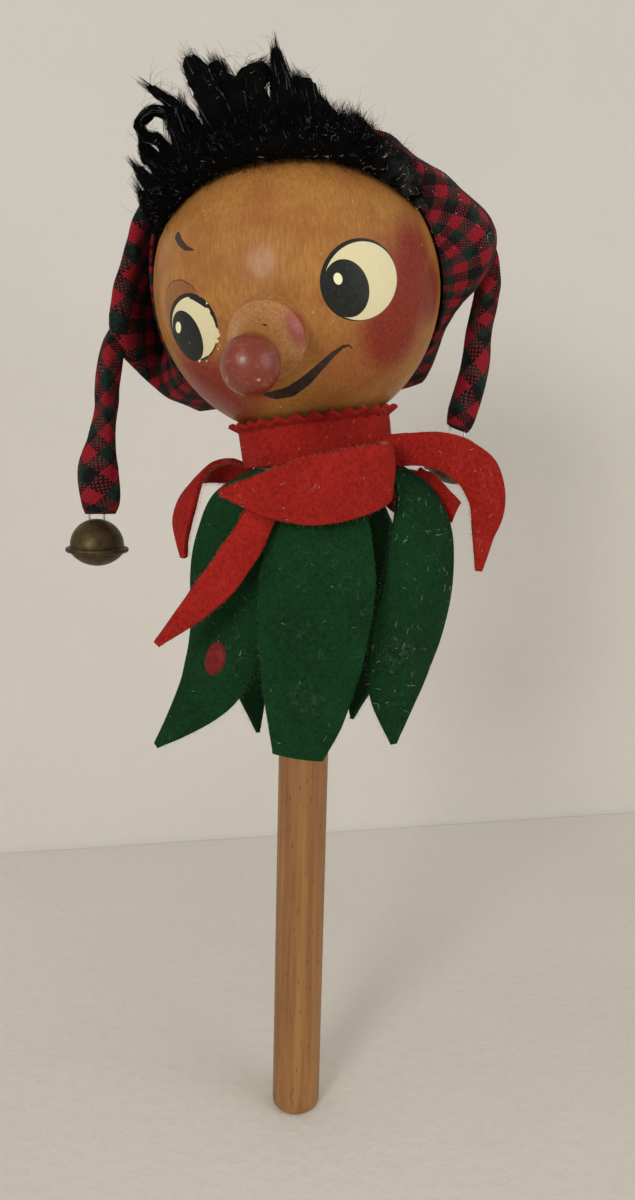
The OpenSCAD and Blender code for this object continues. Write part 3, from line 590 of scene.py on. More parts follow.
# Each stroke: the points that it runs through, and its widths in millimetres
MOUTH = (
    [(-15.7, -30.1), (-11.9, -31.5), (-5, -31.6), (2.7, -28.9), (10.2, -24.8), (16.4, -21.3), (20.9, -19.6)],
    [1.6, 3.0, 3.5, 3.1, 2.2, 1.5, 0.9],
)
MOUTH_HOOK = ([(20.9, -19.6), (23.3, -19.8), (24.4, -21.2)], [0.9, 0.5, 0.4])
BROW = ([(-40.2, 34.3), (-37, 31.4), (-32.5, 28.5), (-28, 27)], [2.1, 1.9, 1.3, 0.4])
LINES = [
    ([(-49.9, 11.3), (-47, 16.2), (-41.7, 18.5), (-35.6, 18), (-30.8, 15.5), (-27.6, 12.2)], 0.35),
    ([(-62.7, 28.8), (-60.3, 22.5), (-58.5, 15), (-57.3, 9.1)], 0.45),
    ([(-55.7, 21), (-55.9, 15.9), (-55.9, 11.2)], 0.4),
    ([(-71.9, 27.2), (-64.4, 19.5), (-62.1, 11.9)], 0.35),
]
# Sprayed red: where, and how far it reaches in millimetres
MOUTH_RED = ((27, -27), 13.0)
CHEEKS = [
    ((53, -8), 16.5), ((44, -21), 15.0), ((61, 3), 11.0), ((68, -12), 11.0),
    ((-43, -24), 18.0), ((-22, -23), 9.0),
]
LID = ((-38.7, 3.6), 10.4, 8.9, 0)


# %% Paint of the head
def sprayed_red(place, skin):
    """1 where the cheeks are red, weaker beside the mouth, with a spattered edge."""
    red = spray(skin, *MOUTH_RED).step(1.2, 0.2) * 0.45
    spatter = (cloud(place, 0.0016, detail=4) - 0.5) * 0.25
    for cheek in CHEEKS:
        red = red.math("MAXIMUM", (spray(skin, *cheek) + spatter).step(1.12, 0.35))
    return red


def with_eyes(place, skin, face, dark):
    """The face with its eyes, whose cream paint has yellowed a little and is chipped at one edge."""
    cream = mix(cloud(place, 0.0007, detail=3).step(0.62, 0.75) * 0.35, "dad0a6", "a39b7c")
    chip = cloud(place, 0.0032, detail=3).step(0.42, 0.5)
    towards_nose = skin.dot(FACE_RIGHT * 0.8 - FACE_UP * 0.25).step(-20.5, -15.5)
    for white, rim, pupil, light, chipped in EYES:
        edge = oval(skin, *white)
        if chipped:
            edge = edge + towards_nose * chip * chipped
        face = mix(oval(skin, *rim).step(1.01, 0.99), face, dark)
        face = mix(edge.step(1.008, 0.992), face, cream)
        face = mix(oval(skin, *pupil).step(1.012, 0.988), face, dark)
        face = mix(oval(skin, *light).step(1.05, 0.95), face, "efe8bf")
    return face


def paint_head(place):
    skin = skin_of(place)
    fine = cloud(place, 0.0008, detail=3)
    grain = cloud(place, 0.0006, detail=5, rough=0.6, stretch=(1, 1, 7))
    blotch = cloud(place, 0.011, detail=4)
    marks = cloud(place, 0.00045, detail=4, rough=0.7, stretch=(3, 1, 1))
    wood = mix(grain.step(0.3, 0.75), "98652f", "ae7b42")
    wood = mix(blotch.step(0.42, 0.7) * 0.55, wood, "8a4f28")
    wood = mix(marks.step(0.62, 0.8) * 0.35, wood, "c39a68")
    cheek = mix(fine.step(0.35, 0.7), "6f1c16", "8a2a1f")
    face = mix(sprayed_red(place, skin) * 0.92, wood, cheek)
    face = mix(oval(skin, *LID).step(1.02, 0.93) * 0.45, face, "6e4030")
    dark = mix(fine.step(0.3, 0.8), "1d1e1d", "2b2c29")
    ink = mix(fine.step(0.3, 0.8), "33251f", "43312a")
    for points, wide in LINES:
        ends = [wide * 0.5] + [wide] * (len(points) - 2) + [wide * 0.4]
        face = mix(stroke(skin, points, ends).step(0.12, -0.1) * 0.75, face, "4a3020")
    face = mix(stroke(skin, *BROW).step(0.08, -0.08), face, ink)
    lips = stroke(skin, *MOUTH).math("MINIMUM", stroke(skin, *MOUTH_HOOK))
    face = mix(lips.step(0.07, -0.07), face, ink)
    face = with_eyes(place, skin, face, dark)
    rare = cloud(place, 0.004, detail=2).step(0.58, 0.66)
    face = mix(scattered(place, 420.0).step(0.16, 0.08) * rare * 0.5, face, "d5a98a")
    dull = cloud(place, 0.006, detail=4).step(0.4, 0.7)
    return {"Base Color": face, "Roughness": dull * 0.12 + 0.38, "Bump": (grain + marks * 0.5, 0.00008)}


LACQUER = {"Specular_IOR_Level": 0.1, "Coat_Weight": 0.12, "Coat_Roughness": 0.16}
painted_head = finish("painted_head", paint_head, **LACQUER)
for node in ("face_shell", "rear_cap"):
    refinish(node, painted_head)

# %% [markdown]
# ## Nose
# The nose is turned from its own piece and glued in. Its tip was dipped in red, which handling has worn down
# to the lacquer in spots. The red follows the distance along the nose, and noise breaks its edge.

# %% Nose
NOSE_SIDE, NOSE_DROOP = math.radians(-3.7), math.radians(7.9)
NOSE_FRONT = Vector((0, -math.cos(NOSE_DROOP), -math.sin(NOSE_DROOP)))
NOSE_WAY = HEAD_TURN @ Euler((0, 0, NOSE_SIDE)).to_matrix() @ NOSE_FRONT
PIN_PLACE = (-11.0, -49.2, 236.8)
BLUSH_PLACE = (-3.0, -43.0, 237.4)


def paint_nose(place):
    along = place.vmath("SUBTRACT", tuple(BALL)).dot(NOSE_WAY / MM)
    grain = cloud(place, 0.0006, detail=4, stretch=(1, 4, 1))
    worn = cloud(place, 0.0024, detail=6, rough=0.65)
    wood = mix(grain.step(0.3, 0.75), "93602f", "b37c48")
    tip = (along + (worn - 0.5) * 5).step(54.5, 60.5)
    red = mix(worn.step(0.52, 0.66) * 0.7, "701d13", "96492d")
    colour = mix(tip * 0.92, wood, red)
    colour = mix(away_from(place, BLUSH_PLACE).step(6.0, 2.5) * 0.85, colour, "8d2f26")
    colour = mix(away_from(place, PIN_PLACE).step(0.85, 0.35), colour, "2c1a10")
    specks = scattered(place, 380.0).step(0.2, 0.1) * worn.step(0.5, 0.56)
    colour = mix(specks * 0.6, colour, "d9b39b")
    return {"Base Color": colour, "Roughness": worn * 0.2 + 0.28, "Bump": (grain + worn, 0.0001)}


RUBBED = {"Specular_IOR_Level": 0.4, "Coat_Weight": 0.25, "Coat_Roughness": 0.2}
refinish("nose", finish("nose_lacquer", paint_nose, **RUBBED))
print("head and nose painted")

# %% [markdown]
# ## Checked cloth
# The hood is gingham: red and dark stripes cross in both directions. A thread is on top in one cell and below
# in the next, so a square is solid red, solid dark, or dark with rows of red dots. The same three cases come
# out here when each cell of the weave takes the colour of whichever thread is on top. The cells follow the
# piece's own UV map, which is in metres, so the check bends and wrinkles with the cloth.

# %% Checked cloth
THREAD = 0.5 * MM
STRIPE_THREADS = 7
CHECK_TURN = math.radians(38)


def paint_check(place):
    flat = place.node("UVMap", uv_map="cloth")
    flat = flat.node("Mapping", {"Vector": flat, "Rotation": (0, 0, CHECK_TURN)})
    wander = cloud(place, 0.006, detail=2, out=1).vmath("SUBTRACT", (0.5, 0.5, 0.5))
    flat = flat.vmath("ADD", wander.vmath("MULTIPLY", (0.0012, 0.0012, 0.0)))
    u, v, _ = flat.vmath("MULTIPLY", (1 / THREAD, 1 / THREAD, 0.0)).xyz()
    cell_u, cell_v = u.math("FLOOR"), v.math("FLOOR")
    on_top = (cell_u + cell_v).math("FLOORED_MODULO", 2.0)
    below = 1 - on_top
    stripe_u, stripe_v = cell_u / STRIPE_THREADS, cell_v / STRIPE_THREADS
    red_u, red_v = (s.math("FLOORED_MODULO", 2.0).math("LESS_THAN", 1.0) for s in (stripe_u, stripe_v))
    red = on_top * red_u + below * red_v
    round_u, round_v = (1 - ((w.math("FRACT") - 0.5) * 2) ** 2.0 for w in (u, v))
    height = on_top * (round_u * 0.7 + round_v * 0.3) + below * (round_v * 0.7 + round_u * 0.3)
    green = (cloud(place, 0.0045, detail=3) + stripe_u.math("FRACT") * 0.1).step(0.48, 0.6)
    yarn = cloud(place, 0.0004, detail=4, rough=0.7)
    mixed = (red_u - red_v).math("ABSOLUTE")
    red = red * (1 - mixed * (1 - height.step(0.62, 0.88)))
    dark = mix(green, "0a0b0b", "0f2a22")
    bright = mix(yarn.step(0.3, 0.7), "760d17", "a8192a")
    colour = mix(red, dark, bright)
    colour = mix(yarn.step(0.68, 0.8) * 0.16, colour, "8a5c5e")
    # Painted shade: the cloth is darkened in the grooves between its threads, where the threads shade each
    # other.
    colour = mix((1 - height.step(0.05, 0.65)) * 0.85, colour, "0a0505")
    lint = cloud(place, 0.0022, detail=7, rough=0.75).step(0.64, 0.74)
    x, _, z = place.xyz()
    dusty = x.step(0.018, 0.034) * z.step(0.240, 0.256)
    colour = mix(lint * (dusty * 0.45 + 0.12), colour, "9b9692")
    return {"Base Color": colour, "Bump": (height + yarn * 0.4, 0.00022)}


check_cloth = finish("check_cloth", paint_check, Roughness=0.94, Specular_IOR_Level=0.25)

# %% [markdown]
# ## Felt, wool and thread
# Felt has no weave. Its fibres lie every way, so a fine noise mottles it, and lint has settled on it in
# specks that are paler than the dye. Where the glue of a lost button was, a ring of the pile is a little
# grey. The wool is almost black, and only its fine fibres catch some light; some of the fibres are coloured
# grey as a painted sheen.

# %% Felt and wool finishes
GLUE_SPOTS = ((24.5, -20.1, 155.3), (0.1, -31.9, 143.9))


def paint_felt(light, dark, lint, glue=()):
    def paint(place):
        fibres = cloud(place, 0.0010, detail=6, rough=0.75)
        strands = cloud(place, 0.0005, detail=3, stretch=(1, 1, 3))
        patches = cloud(place, 0.012, detail=3)
        shade = fibres.step(0.28, 0.72) * 0.65 + patches.step(0.35, 0.7) * 0.2
        colour = mix(shade + strands.step(0.3, 0.7) * 0.15, dark, light)
        fluff = cloud(place, 0.0030, detail=8, rough=0.8).step(0.655, 0.73)
        thread = (cloud(place, 0.0045, detail=2) - 0.5).math("ABSOLUTE").step(0.004, 0.001)
        thread = thread * cloud(place, 0.007, detail=1).step(0.60, 0.66)
        colour = mix((fluff * 0.30 + thread * 0.30).clamp(), colour, lint)
        for spot in glue:
            away = away_from(place, spot) + (cloud(place, 0.004, detail=4) - 0.5) * 9
            ring = away.step(1.2, 3.4) * away.step(5.2, 4.0)
            colour = mix(ring * fibres.step(0.46, 0.64) * 0.2, colour, "5f6a62")
        return {"Base Color": colour, "Bump": (fibres + fluff * 0.5, 0.0004)}

    return paint


DRY = {"Roughness": 0.97, "Specular_IOR_Level": 0.15}
# Fuzz colours, paler than the felt: a painted highlight for the light that the cut edges catch.
FUZZ_HIGHLIGHT_COLOURS = {"red_felt": "c4574a", "green_felt": "456f52"}


def paint_fuzz_highlight(colour):
    return lambda place: {"Base Color": mix(cloud(place, 0.002, detail=3) * 0.5, colour, "b9b4ab")}


fuzz_highlight_finishes = {slot: finish("fuzz_highlight_of_" + slot, paint_fuzz_highlight(colour), **DRY) for slot, colour in FUZZ_HIGHLIGHT_COLOURS.items()}
red_felt = finish("red_felt", paint_felt("b0281f", "720f0a", "d09a90"), **DRY)
green_felt = finish("green_felt", paint_felt("144320", "041b0a", "8ba292", GLUE_SPOTS), **DRY)


def paint_wool(place):
    strands = cloud(place, 0.0008, detail=5)
    dusty = place.xyz()[0].step(0.012, 0.030) * cloud(place, 0.004, detail=5).step(0.40, 0.62)
    colour = mix(strands.step(0.4, 0.8), "020202", "080809")
    colour = mix(dusty * 0.4, colour, "5a5a5c")
    return {"Base Color": colour, "Bump": (strands, 0.0006)}


black_wool = finish("black_wool", paint_wool, Roughness=0.85, Specular_IOR_Level=0.08)


# Painted sheen: the grey of some of the wool's fibres stands for the light that they catch.
def paint_wool_sheen(place):
    return {"Base Color": mix(cloud(place, 0.002, detail=3).step(0.35, 0.65), "232324", "707072")}


painted_wool_sheen = finish("painted_wool_sheen", paint_wool_sheen, Roughness=0.7)
print("cloth, felt and wool finishes ready")

# %% [markdown]
# ## Wood, enamel and metal
# The stick is beech: orange-brown, with short dark flecks that run along it. The bells are old brass, dull
# olive with browner stains. The parts inside the head are cleaner metal, because nothing touches them.

# %% Wood
def paint_stick(place):
    rings = cloud(place, 0.0022, detail=4, rough=0.6, stretch=(1, 1, 26))
    flecks = scattered(place.vmath("MULTIPLY", (1.0, 1.0, 0.16)), 1350.0)
    sparse = cloud(place, 0.0009, detail=2, stretch=(1, 1, 5))
    fleck = flecks.step(0.34, 0.16) * sparse.step(0.50, 0.60)
    fine = cloud(place, 0.0003, detail=3, stretch=(1, 1, 20))
    colour = mix(rings.step(0.3, 0.7), "7c4d22", "9a6a35")
    colour = mix(fine.step(0.35, 0.75) * 0.35, colour, "8f6133")
    colour = mix(fleck * 0.75, colour, "5a3015")
    foot = place.xyz()[2].step(0.006, 0.0015)
    colour = mix(foot * cloud(place, 0.003, detail=5).step(0.35, 0.7) * 0.5, colour, "7d5836")
    return {"Base Color": colour, "Roughness": rings * 0.15 + 0.42, "Bump": (fine * 0.5 - fleck, 0.00009)}


def paint_plain_wood(place):
    rings = cloud(place, 0.003, detail=4, stretch=(1, 1, 12))
    return {"Base Color": mix(rings.step(0.3, 0.7), "9a6e40", "b68a58"), "Bump": (rings, 0.0001)}


refinish("handle_stick", finish("beech", paint_stick, Coat_Weight=0.08, Coat_Roughness=0.4))
refinish("neck_block", finish("turned_wood", paint_plain_wood, Roughness=0.6))


# %% Metal and enamel
def paint_metal(bright, stained, brushed=(1, 1, 6), rough=0.3):
    def paint(place):
        lines = cloud(place, 0.0006, detail=3, stretch=brushed)
        stain = cloud(place, 0.0035, detail=5, rough=0.6)
        colour = mix(stain.step(0.45, 0.75), bright, stained)
        dull = lines * 0.12 + stain * 0.15 + (rough - 0.13)
        return {"Base Color": colour, "Roughness": dull, "Bump": (lines, 0.00003)}

    return paint


def paint_old_brass(place):
    stain = cloud(place, 0.0030, detail=6, rough=0.65)
    fine = cloud(place, 0.0006, detail=4)
    colour = mix(stain.step(0.35, 0.65), "514222", "332a18")
    colour = mix(fine.step(0.55, 0.75) * 0.4, colour, "62552f")
    dull = stain * 0.25 + 0.36
    return {"Base Color": colour, "Roughness": dull, "Metallic": 0.8 - stain * 0.3, "Bump": (fine, 0.00005)}


PURE = {"Metallic": 1.0}
METALS = {
    "bright_steel": (paint_metal("b9bcc0", "8f9296"), PURE,
        "drive_shaft shaft_pin thrust_washer retaining_collar cylinder_arbor left_bell_wire right_bell_wire"),
    "dark_steel": (paint_metal("4a4a4c", "2e2e30"), PURE,
        "collar_screw movement_screws left_bell_pellet right_bell_pellet"),
    "comb_steel": (paint_metal("a4aab4", "7e8894", (6, 1, 1), 0.25), PURE, "music_comb"),
    "turned_brass": (paint_metal("c9a862", "a5854a", (6, 1, 1)), PURE,
        "drive_worm neck_bush movement_bedplate comb_clamp gear_bracket plain_bracket cylinder_drum "
        "cylinder_gear"),
    "old_brass": (paint_old_brass, {}, "left_bell_dome left_bell_base right_bell_dome right_bell_base"),
}
for name, (paint, fixed, nodes) in METALS.items():
    metal = finish(name, paint, **fixed)
    for node in nodes.split():
        refinish(node, metal)


def paint_enamel(place):
    worn = cloud(place, 0.0018, detail=5)
    colour = mix(worn.step(0.35, 0.65), "601614", "741e1b")
    colour = mix(worn.step(0.64, 0.72) * 0.4, colour, "9a5850")
    return {"Base Color": colour, "Roughness": worn * 0.2 + 0.42}


red_enamel = finish("red_enamel", paint_enamel, Specular_IOR_Level=0.12)
print("wood, metal and enamel finishes ready")

# %% [markdown]
# ## The hood
# The real hood is two panels of checked cloth, sewn along the middle of the head and glued round the face.
# Its front edge lies on the wood. Behind that edge the cloth rises to a ridge that runs round the head,
# highest at the two corners from which the points hang. The mesh is half a ball of quads, because that has
# one closed pole at the back of the head and rows that run evenly to the edge. The rows are closest where
# the cloth turns most.

# %% The hood's form
HOOD_THICK = 1.0 * MM
# How far the glued front edge is from the head's centre, in millimetres
HUG = 39.8
# The ridge, seen from the front: degrees up from the viewer's right, millimetres from the head's centre
RIDGE = [
    (-90, 41.0), (-55, 41.2), (-33, 41.4), (-20, 41.8), (-8, 43.0), (1, 46.5), (6, 52.0), (11, 57.4),
    (18, 58.0), (29, 54.4), (43, 48.6), (65, 46.2), (90, 45.8), (120, 46.2), (140, 46.0), (154, 46.7),
    (168, 49.4), (182, 52.6), (192, 55.8), (202, 59.5), (207, 54.0), (214, 48.8), (222, 46.0), (231, 41.5),
    (250, 41.0), (270, 41.0),
]
# The ridge is given as seen in a plane this far behind the head's centre, from a camera this far from it
SEEN_BEHIND, SEEN_FROM = 12, 273
# The fold on the left, from the front edge backward: share of the ridge's height, millimetres behind the edge
LEFT_FOLD_LINE = [
    (0, 0), (0.0, 8), (0.05, 17), (0.22, 22), (0.46, 11), (0.68, 1.5), (0.92, 1.0), (1.0, 8), (1.0, 17),
]
FOLD_SHARE = 0.34


def ridge_height(way):
    """Height of the ridge in a direction, as the mean of a few places near it, so that it has no corners."""
    tilt = math.degrees(math.atan2(way.z, way.x))
    total = 0.0
    for shift in (-6, -3, 0, 3, 6):
        at = (tilt + shift + 90) % 360 - 90
        for (a, low), (b, high) in zip(RIDGE, RIDGE[1:]):
            if a <= at <= b:
                total += low + (high - low) * (at - a) / (b - a)
                break
    return total / 5


def ease(value, low, high):
    """0 below low, 1 above high, smooth between."""
    value = max(0.0, min(1.0, (value - low) / (high - low)))
    return value * value * (3 - 2 * value)


def edge_angle(around):
    """Degrees from the hood's middle to its front edge, which comes further forward at both cheeks."""
    left = 16 * math.exp(-(((around + 128) / 24) ** 2))
    return 90 + left + 9 * math.exp(-(((around - 92) / 34) ** 2))


def hood_point(share, around):
    """A point of the hood's outer side, by its share of the way to the front edge and its angle around."""
    edge = hat_way(edge_angle(around), around)
    way = hat_way(edge_angle(around) * share, around)
    ridge_at = max(0.16, min(0.5, edge.y + 0.14))
    ridge = ridge_height(way)
    nearer = 1 + (ridge * ridge_at - SEEN_BEHIND) / SEEN_FROM
    high = ridge * (nearer / math.sqrt(1 - ridge_at**2))
    sooner = ease(around, 40, 70) * (1 - ease(around, 120, 150))
    rise = math.exp(-(((way.y - ridge_at) / 0.6) ** 2)) * ease(1 - share, 0.0, 0.15 - 0.07 * sooner)
    front = HUG + (high - HUG) * rise + 0.3 * ease(share, 0.955, 0.975)
    back = ease(way.y, ridge_at, ridge_at + 0.4)
    reach = front + (hood_reach(way) / MM - front) * back
    turn = math.radians(around)
    crease = noise.noise(Vector((math.sin(turn) * 6, math.cos(turn) * 6, share * 2 + 4))) * 1.1
    crease += noise.noise(way * 5) * 0.9
    crease *= ease(share, 0.08, 0.35)
    reach += crease * ease(1 - share, 0.03, 0.2)
    plain = BALL + way * (reach * MM)
    left = ease(-around, 22, 50) * ease(share, 0.85 - FOLD_SHARE, 1 - FOLD_SHARE)
    left *= 1 - ease(-around, 112, 134)
    if left == 0:
        return plain
    line = smooth_path([Vector((*p, 0)) for p in LEFT_FOLD_LINE], min(1, (1 - share) / FOLD_SHARE))
    flat_way = Vector((way.x, 0, way.z)).normalized()
    out = HUG + (ridge - HUG) * line.x + crease * ease(1 - share, 0.1, 0.25)
    folded = BALL + (flat_way * out + Vector((0, HUG * edge.y + line.y, 0))) * MM
    return plain.lerp(folded, left)


# %% The hood's mesh and its panels
hood_bm = bmesh.new()
bmesh.ops.create_uvsphere(hood_bm, u_segments=220, v_segments=150, radius=1.0)
lower_half = [v for v in hood_bm.verts if v.co.z < -0.001]
bmesh.ops.delete(hood_bm, geom=lower_half, context="VERTS")
for vert in hood_bm.verts:
    x, y, z = vert.co
    row = math.acos(max(-1, min(1, z))) / (math.pi / 2)
    vert.co = hood_point(row * (1.5 - 0.5 * row), math.degrees(math.atan2(x, y)))
bmesh.ops.recalc_face_normals(hood_bm, faces=hood_bm.faces)
hood_area = area_of(hood_bm)
hood = to_object(hood_bm, "hood")


def flatten(piece, seam):
    """Cuts a piece's cloth at the seam and lays its panels flat, at their real size in metres."""
    mesh = piece.data
    mesh.uv_layers.new(name="cloth")
    for edge in mesh.edges:
        edge.use_seam = seam(*(mesh.vertices[i].co for i in edge.vertices))
    bpy.ops.object.select_all(action="DESELECT")
    piece.select_set(True)
    bpy.context.view_layer.objects.active = piece
    bpy.ops.object.mode_set(mode="EDIT")
    bpy.ops.mesh.select_all(action="SELECT")
    bpy.ops.uv.unwrap(method="MINIMUM_STRETCH", iterations=12, margin=0.01)
    bpy.ops.object.mode_set(mode="OBJECT")
    flat = mesh.uv_layers["cloth"].data
    real, drawn = 0.0, 0.0
    for face in mesh.polygons:
        corners = [flat[i].uv for i in face.loop_indices]
        drawn += abs(sum(a.cross(b) for a, b in zip(corners, corners[1:] + corners[:1]))) / 2
        real += face.area
    scale = math.sqrt(real / drawn)
    for loop in flat:
        loop.uv = loop.uv * scale


flatten(hood, lambda *ends: all(abs(end.x - BALL.x) < 0.5 * MM for end in ends))
hood_bm = bmesh.new()
hood_bm.from_mesh(hood.data)
hood_middle = hat_way(0, 0)
thicken(hood_bm, HOOD_THICK, edge=0.3 * MM, at=lambda place: (place - BALL).dot(hood_middle) < 6 * MM)
MOST_SPOKES = 20
for pole in [v for v in hood_bm.verts if len(v.link_edges) > MOST_SPOKES]:
    around_it = [edge.other_vert(pole).co for edge in pole.link_edges]
    pole.co = sum(around_it, Vector()) / len(around_it)
print("hood: nearest to the head's centre", round(min((v.co - BALL).length for v in hood_bm.verts) / MM, 2))
hood_bm.to_mesh(hood.data)
hood_bm.free()
put_on(hood, check_cloth, "head", "check_cloth", "hat_hood")
print("hood: faces", len(hood.data.polygons), "cloth", round(hood_area * 1e4), "cm2")

# %% [markdown]
# ## Points of the hood
# Each corner of the hood is a long flattened tube of the same cloth. It begins as a soft roll along the
# hood's side, leaves it at the corner and hangs down to a closed end that holds the bell.

# %% Points of the hood
# Each point: the places that its middle runs through, its widths and its depths, in millimetres
LEFT_POINT = (
    [(-55.6, 9.0, 246.0), (-56.8, 9.0, 241.5), (-58.2, 9.5, 236.0), (-60.3, 12.0, 226.3),
     (-61.4, 14.0, 219.2), (-62.9, 14.0, 210.2), (-64.2, 14.0, 201.3), (-63.9, 14.0, 191.9),
     (-63.8, 14.0, 188.0)],
    (0.8, 4.6, 6.8, 7.1, 7.0, 8.6, 11.8, 11.8, 9.5),
    (0.8, 4.5, 7.5, 8.6, 8.0, 7.4, 6.8, 5.6, 2.2),
)
RIGHT_POINT = (
    [(46.8, 6.0, 271.5), (48.8, 4.5, 265.1), (49.5, 5.5, 258.2), (49.4, 8.5, 252.2), (48.8, 12.0, 245.3),
     (48.0, 13.0, 234.3), (45.7, 13.0, 223.8), (44.4, 13.0, 217.3), (44.0, 13.0, 215.9)],
    (1.2, 5.0, 6.8, 7.3, 7.8, 8.3, 8.7, 7.6, 5.7),
    (1.0, 4.5, 7, 8.6, 8.6, 8.2, 7.0, 5.2, 2.2),
)


def soft_tube(path, wide, deep, seed):
    """place(s, t) on a tube of oval section along a path, with the shallow folds of a hanging cloth."""

    def place(s, t):
        along = way_along(path, t)
        front = along.cross(Vector((1, 0, 0))).normalized()
        side = front.cross(along)
        turn = 2 * math.pi * s
        around = Vector((math.cos(turn) * 1.3, math.sin(turn) * 1.3, t * 4 + seed))
        fold = 1 + 0.16 * noise.noise(around) + 0.05 * noise.noise(around * 3)
        sideways = side * smooth_path(wide, t) / 2 * math.cos(turn) * fold
        forwards = front * smooth_path(deep, t) / 2 * math.sin(turn) * fold
        return smooth_path(path, t) + sideways + forwards

    return place


def hanging_point(side, shape, fold, node, seed):
    path, wide, deep = (metres(row) for row in shape)
    length = path_length(path)
    round_way = math.pi * (sum(wide) + sum(deep)) / (2 * len(wide))
    bm = draped_grid(56, 120, soft_tube(path, wide, deep, seed), (round_way, length), closed=True)
    close_ends(bm)
    area = round(area_of(bm) * 1e4, 1)
    made = to_object(bm, side + "_point_cloth")
    made.data.materials.append(check_cloth)
    fold + Vector((0, 0, 0.005))
    fold - Vector((0, 0, 0.006))
    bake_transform(made)
    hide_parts(node)
    print(node, "cloth", round(round_way / MM, 1), "x", round(length / MM, 1), "mm, area", area, "cm2")


hanging_point("left", LEFT_POINT, LEFT_FOLD, "left_hat_point", 1.0)
hanging_point("right", RIGHT_POINT, RIGHT_FOLD, "right_hat_point", 6.0)

# %% [markdown]
# ## Felt leaves and collar
# Felt is stiff enough to hold the bend it was given. Each strip is a grid laid along a smooth path, as wide
# as the strip is cut at that place and a little cupped. Its edges wander, because it was cut by hand. It is
# then given the felt's thickness, and its cut edges are rounded, apart from those close to its ends.

# %% Felt
SOFT_GAP = 0.4 * MM
NECK_R = 18.5 * MM
LEAST_WIDE = 0.8 * MM
BROAD = 6 * MM
WANDER = 0.35 * MM


def neck_root(around, high, over=0.0):
    """Where felt leaves the neck: degrees around from the front, millimetres up from the foot and out."""
    out = NECK_R + SOFT_GAP + FELT_THICK / 2 + over * MM
    z = NECK_FOOT + high * MM
    middle = BALL.x + (BALL.z - z) * math.tan(NECK_LEAN)
    around = math.radians(around)
    return Vector((middle + out / math.cos(NECK_LEAN) * math.sin(around), -out * math.cos(around), z))


def felt_strip(path, widths, acrosses, cup, seed):
    """place(s, t) on a strip of felt along a path, with edges that wander by a fraction of a millimetre."""

    def place(s, t):
        along = way_along(path, t, 0.01)
        out = along.cross(smooth_path(acrosses, t)).normalized()
        side = out.cross(along)
        wide = max(LEAST_WIDE, smooth_path(widths, t))
        wander = noise.noise(Vector((seed, t * 9, round(s) * 5))) * WANDER * abs(2 * s - 1)
        wander *= min(1, wide / BROAD)
        rise = cup * wide * (1 - (2 * s - 1) ** 2) + FELT_THICK / 2
        rise += noise.noise(Vector((seed * 3, t * 5, s * 2))) * WANDER * math.sin(math.pi * t)
        return smooth_path(path, t) + side * (wide * (s - 0.5) + wander) + out * rise

    return place


# %% Pieces of felt
# The least width of the strip that a piece is cut from
NARROWEST = 10 * MM
# A piece keeps a plain edge this close to its root, and this close to a narrow tip
ROOT_BARE, TIP_BARE = 9 * MM, 3 * MM
EDGE_PLACES = 260
felt_edges = {"red_felt": [], "green_felt": []}


def edge_places(strip):
    """Places along both cut edges of a strip, each with the way out of the felt."""
    found = []
    for k in range(EDGE_PLACES):
        t = 0.03 + 0.96 * k / EDGE_PLACES
        middle = strip(0.5, t)
        found += [(strip(s, t), (strip(s, t) - middle).normalized()) for s in (0, 1)]
    return found


def felt_piece(node, material, slot, root, points, widths, across, cup):
    """One piece of felt, from its root on the neck along its path."""
    foot = Vector((0, 0, NECK_FOOT))
    path = [neck_root(*root)] + [place + foot for place in metres(points)]
    widths = metres(widths)
    across = [Vector(a) for a in (across if isinstance(across[0], tuple) else [across] * len(path))]
    length = path_length(path)
    seed = len(node) * 1.7 + root[0] * 0.1
    strip = felt_strip(path, widths, across, cup, seed)
    felt_edges[slot] += edge_places(strip)
    bm = draped_grid(26, 72, strip, (max(widths), length))
    area = area_of(bm)
    bare = [(path[0], ROOT_BARE)]
    if widths[-1] < BROAD:
        bare.append((path[-1], TIP_BARE))
    thicken(bm, FELT_THICK, 0.35 * MM, lambda place: all((place - end).length > near for end, near in bare))
    made = put_on(to_object(bm, node + "_felt"), material, "head", slot, node)
    max(NARROWEST, *widths)
    print(node, "cut", round(max(widths) / MM, 1), "x", round(length / MM, 1), "mm")
    return made


# %% Leaves
# Each piece: where it leaves the neck, its path from the neck's foot, its widths, the way across it, its cup
OUTER_WAY = (0.88, 0.47, 0)
LEAVES = {
    "leaf_left": ((-44, 3),
        [(-17, -18.2, -6), (-19.0, -18.7, -21), (-20.4, -19, -38), (-26, -20, -55), (-40, -19, -72)],
        [8, 21, 27, 23.5, 18, 0.8], (0.88, -0.47, 0), 0.1),
    "leaf_centre": ((6, 4),
        [(3.6, -24.2, -6), (2.7, -27.5, -22), (1.6, -29, -42), (0.2, -29, -58), (-1.6, -28, -70.5)],
        [11, 23, 29.3, 26.8, 20.5, 13], (1, 0, 0), 0.08),
    "leaf_right": ((68, 6),
        [(27.2, -11.6, 0), (30, -14, -9), (29.8, -15, -24), (26.9, -15, -40), (24.6, -14, -56),
         (24.6, -13.5, -71)],
        [8, 13, 18, 22, 22.5, 16, 0.8], [(0.5, 0.87, 0), (0.75, 0.66, 0)] + [OUTER_WAY] * 5, 0.12),
    "leaf_back_left": ((-132, 3),
        [(-19, 18, -8), (-24, 21, -26), (-22, 20, -46), (-18, 17, -62), (-15.5, 14, -78.5)],
        [8, 18, 24, 23, 16, 0.8], (0.66, 0.75, 0), -0.1),
    "leaf_back_right": ((138, 4), [(19, 20, -8), (23, 23, -26), (21, 22, -46), (18, 19, -60), (16, 16, -74)],
        [8, 18, 24, 23, 16, 0.8], (0.7, -0.71, 0), -0.1),
}
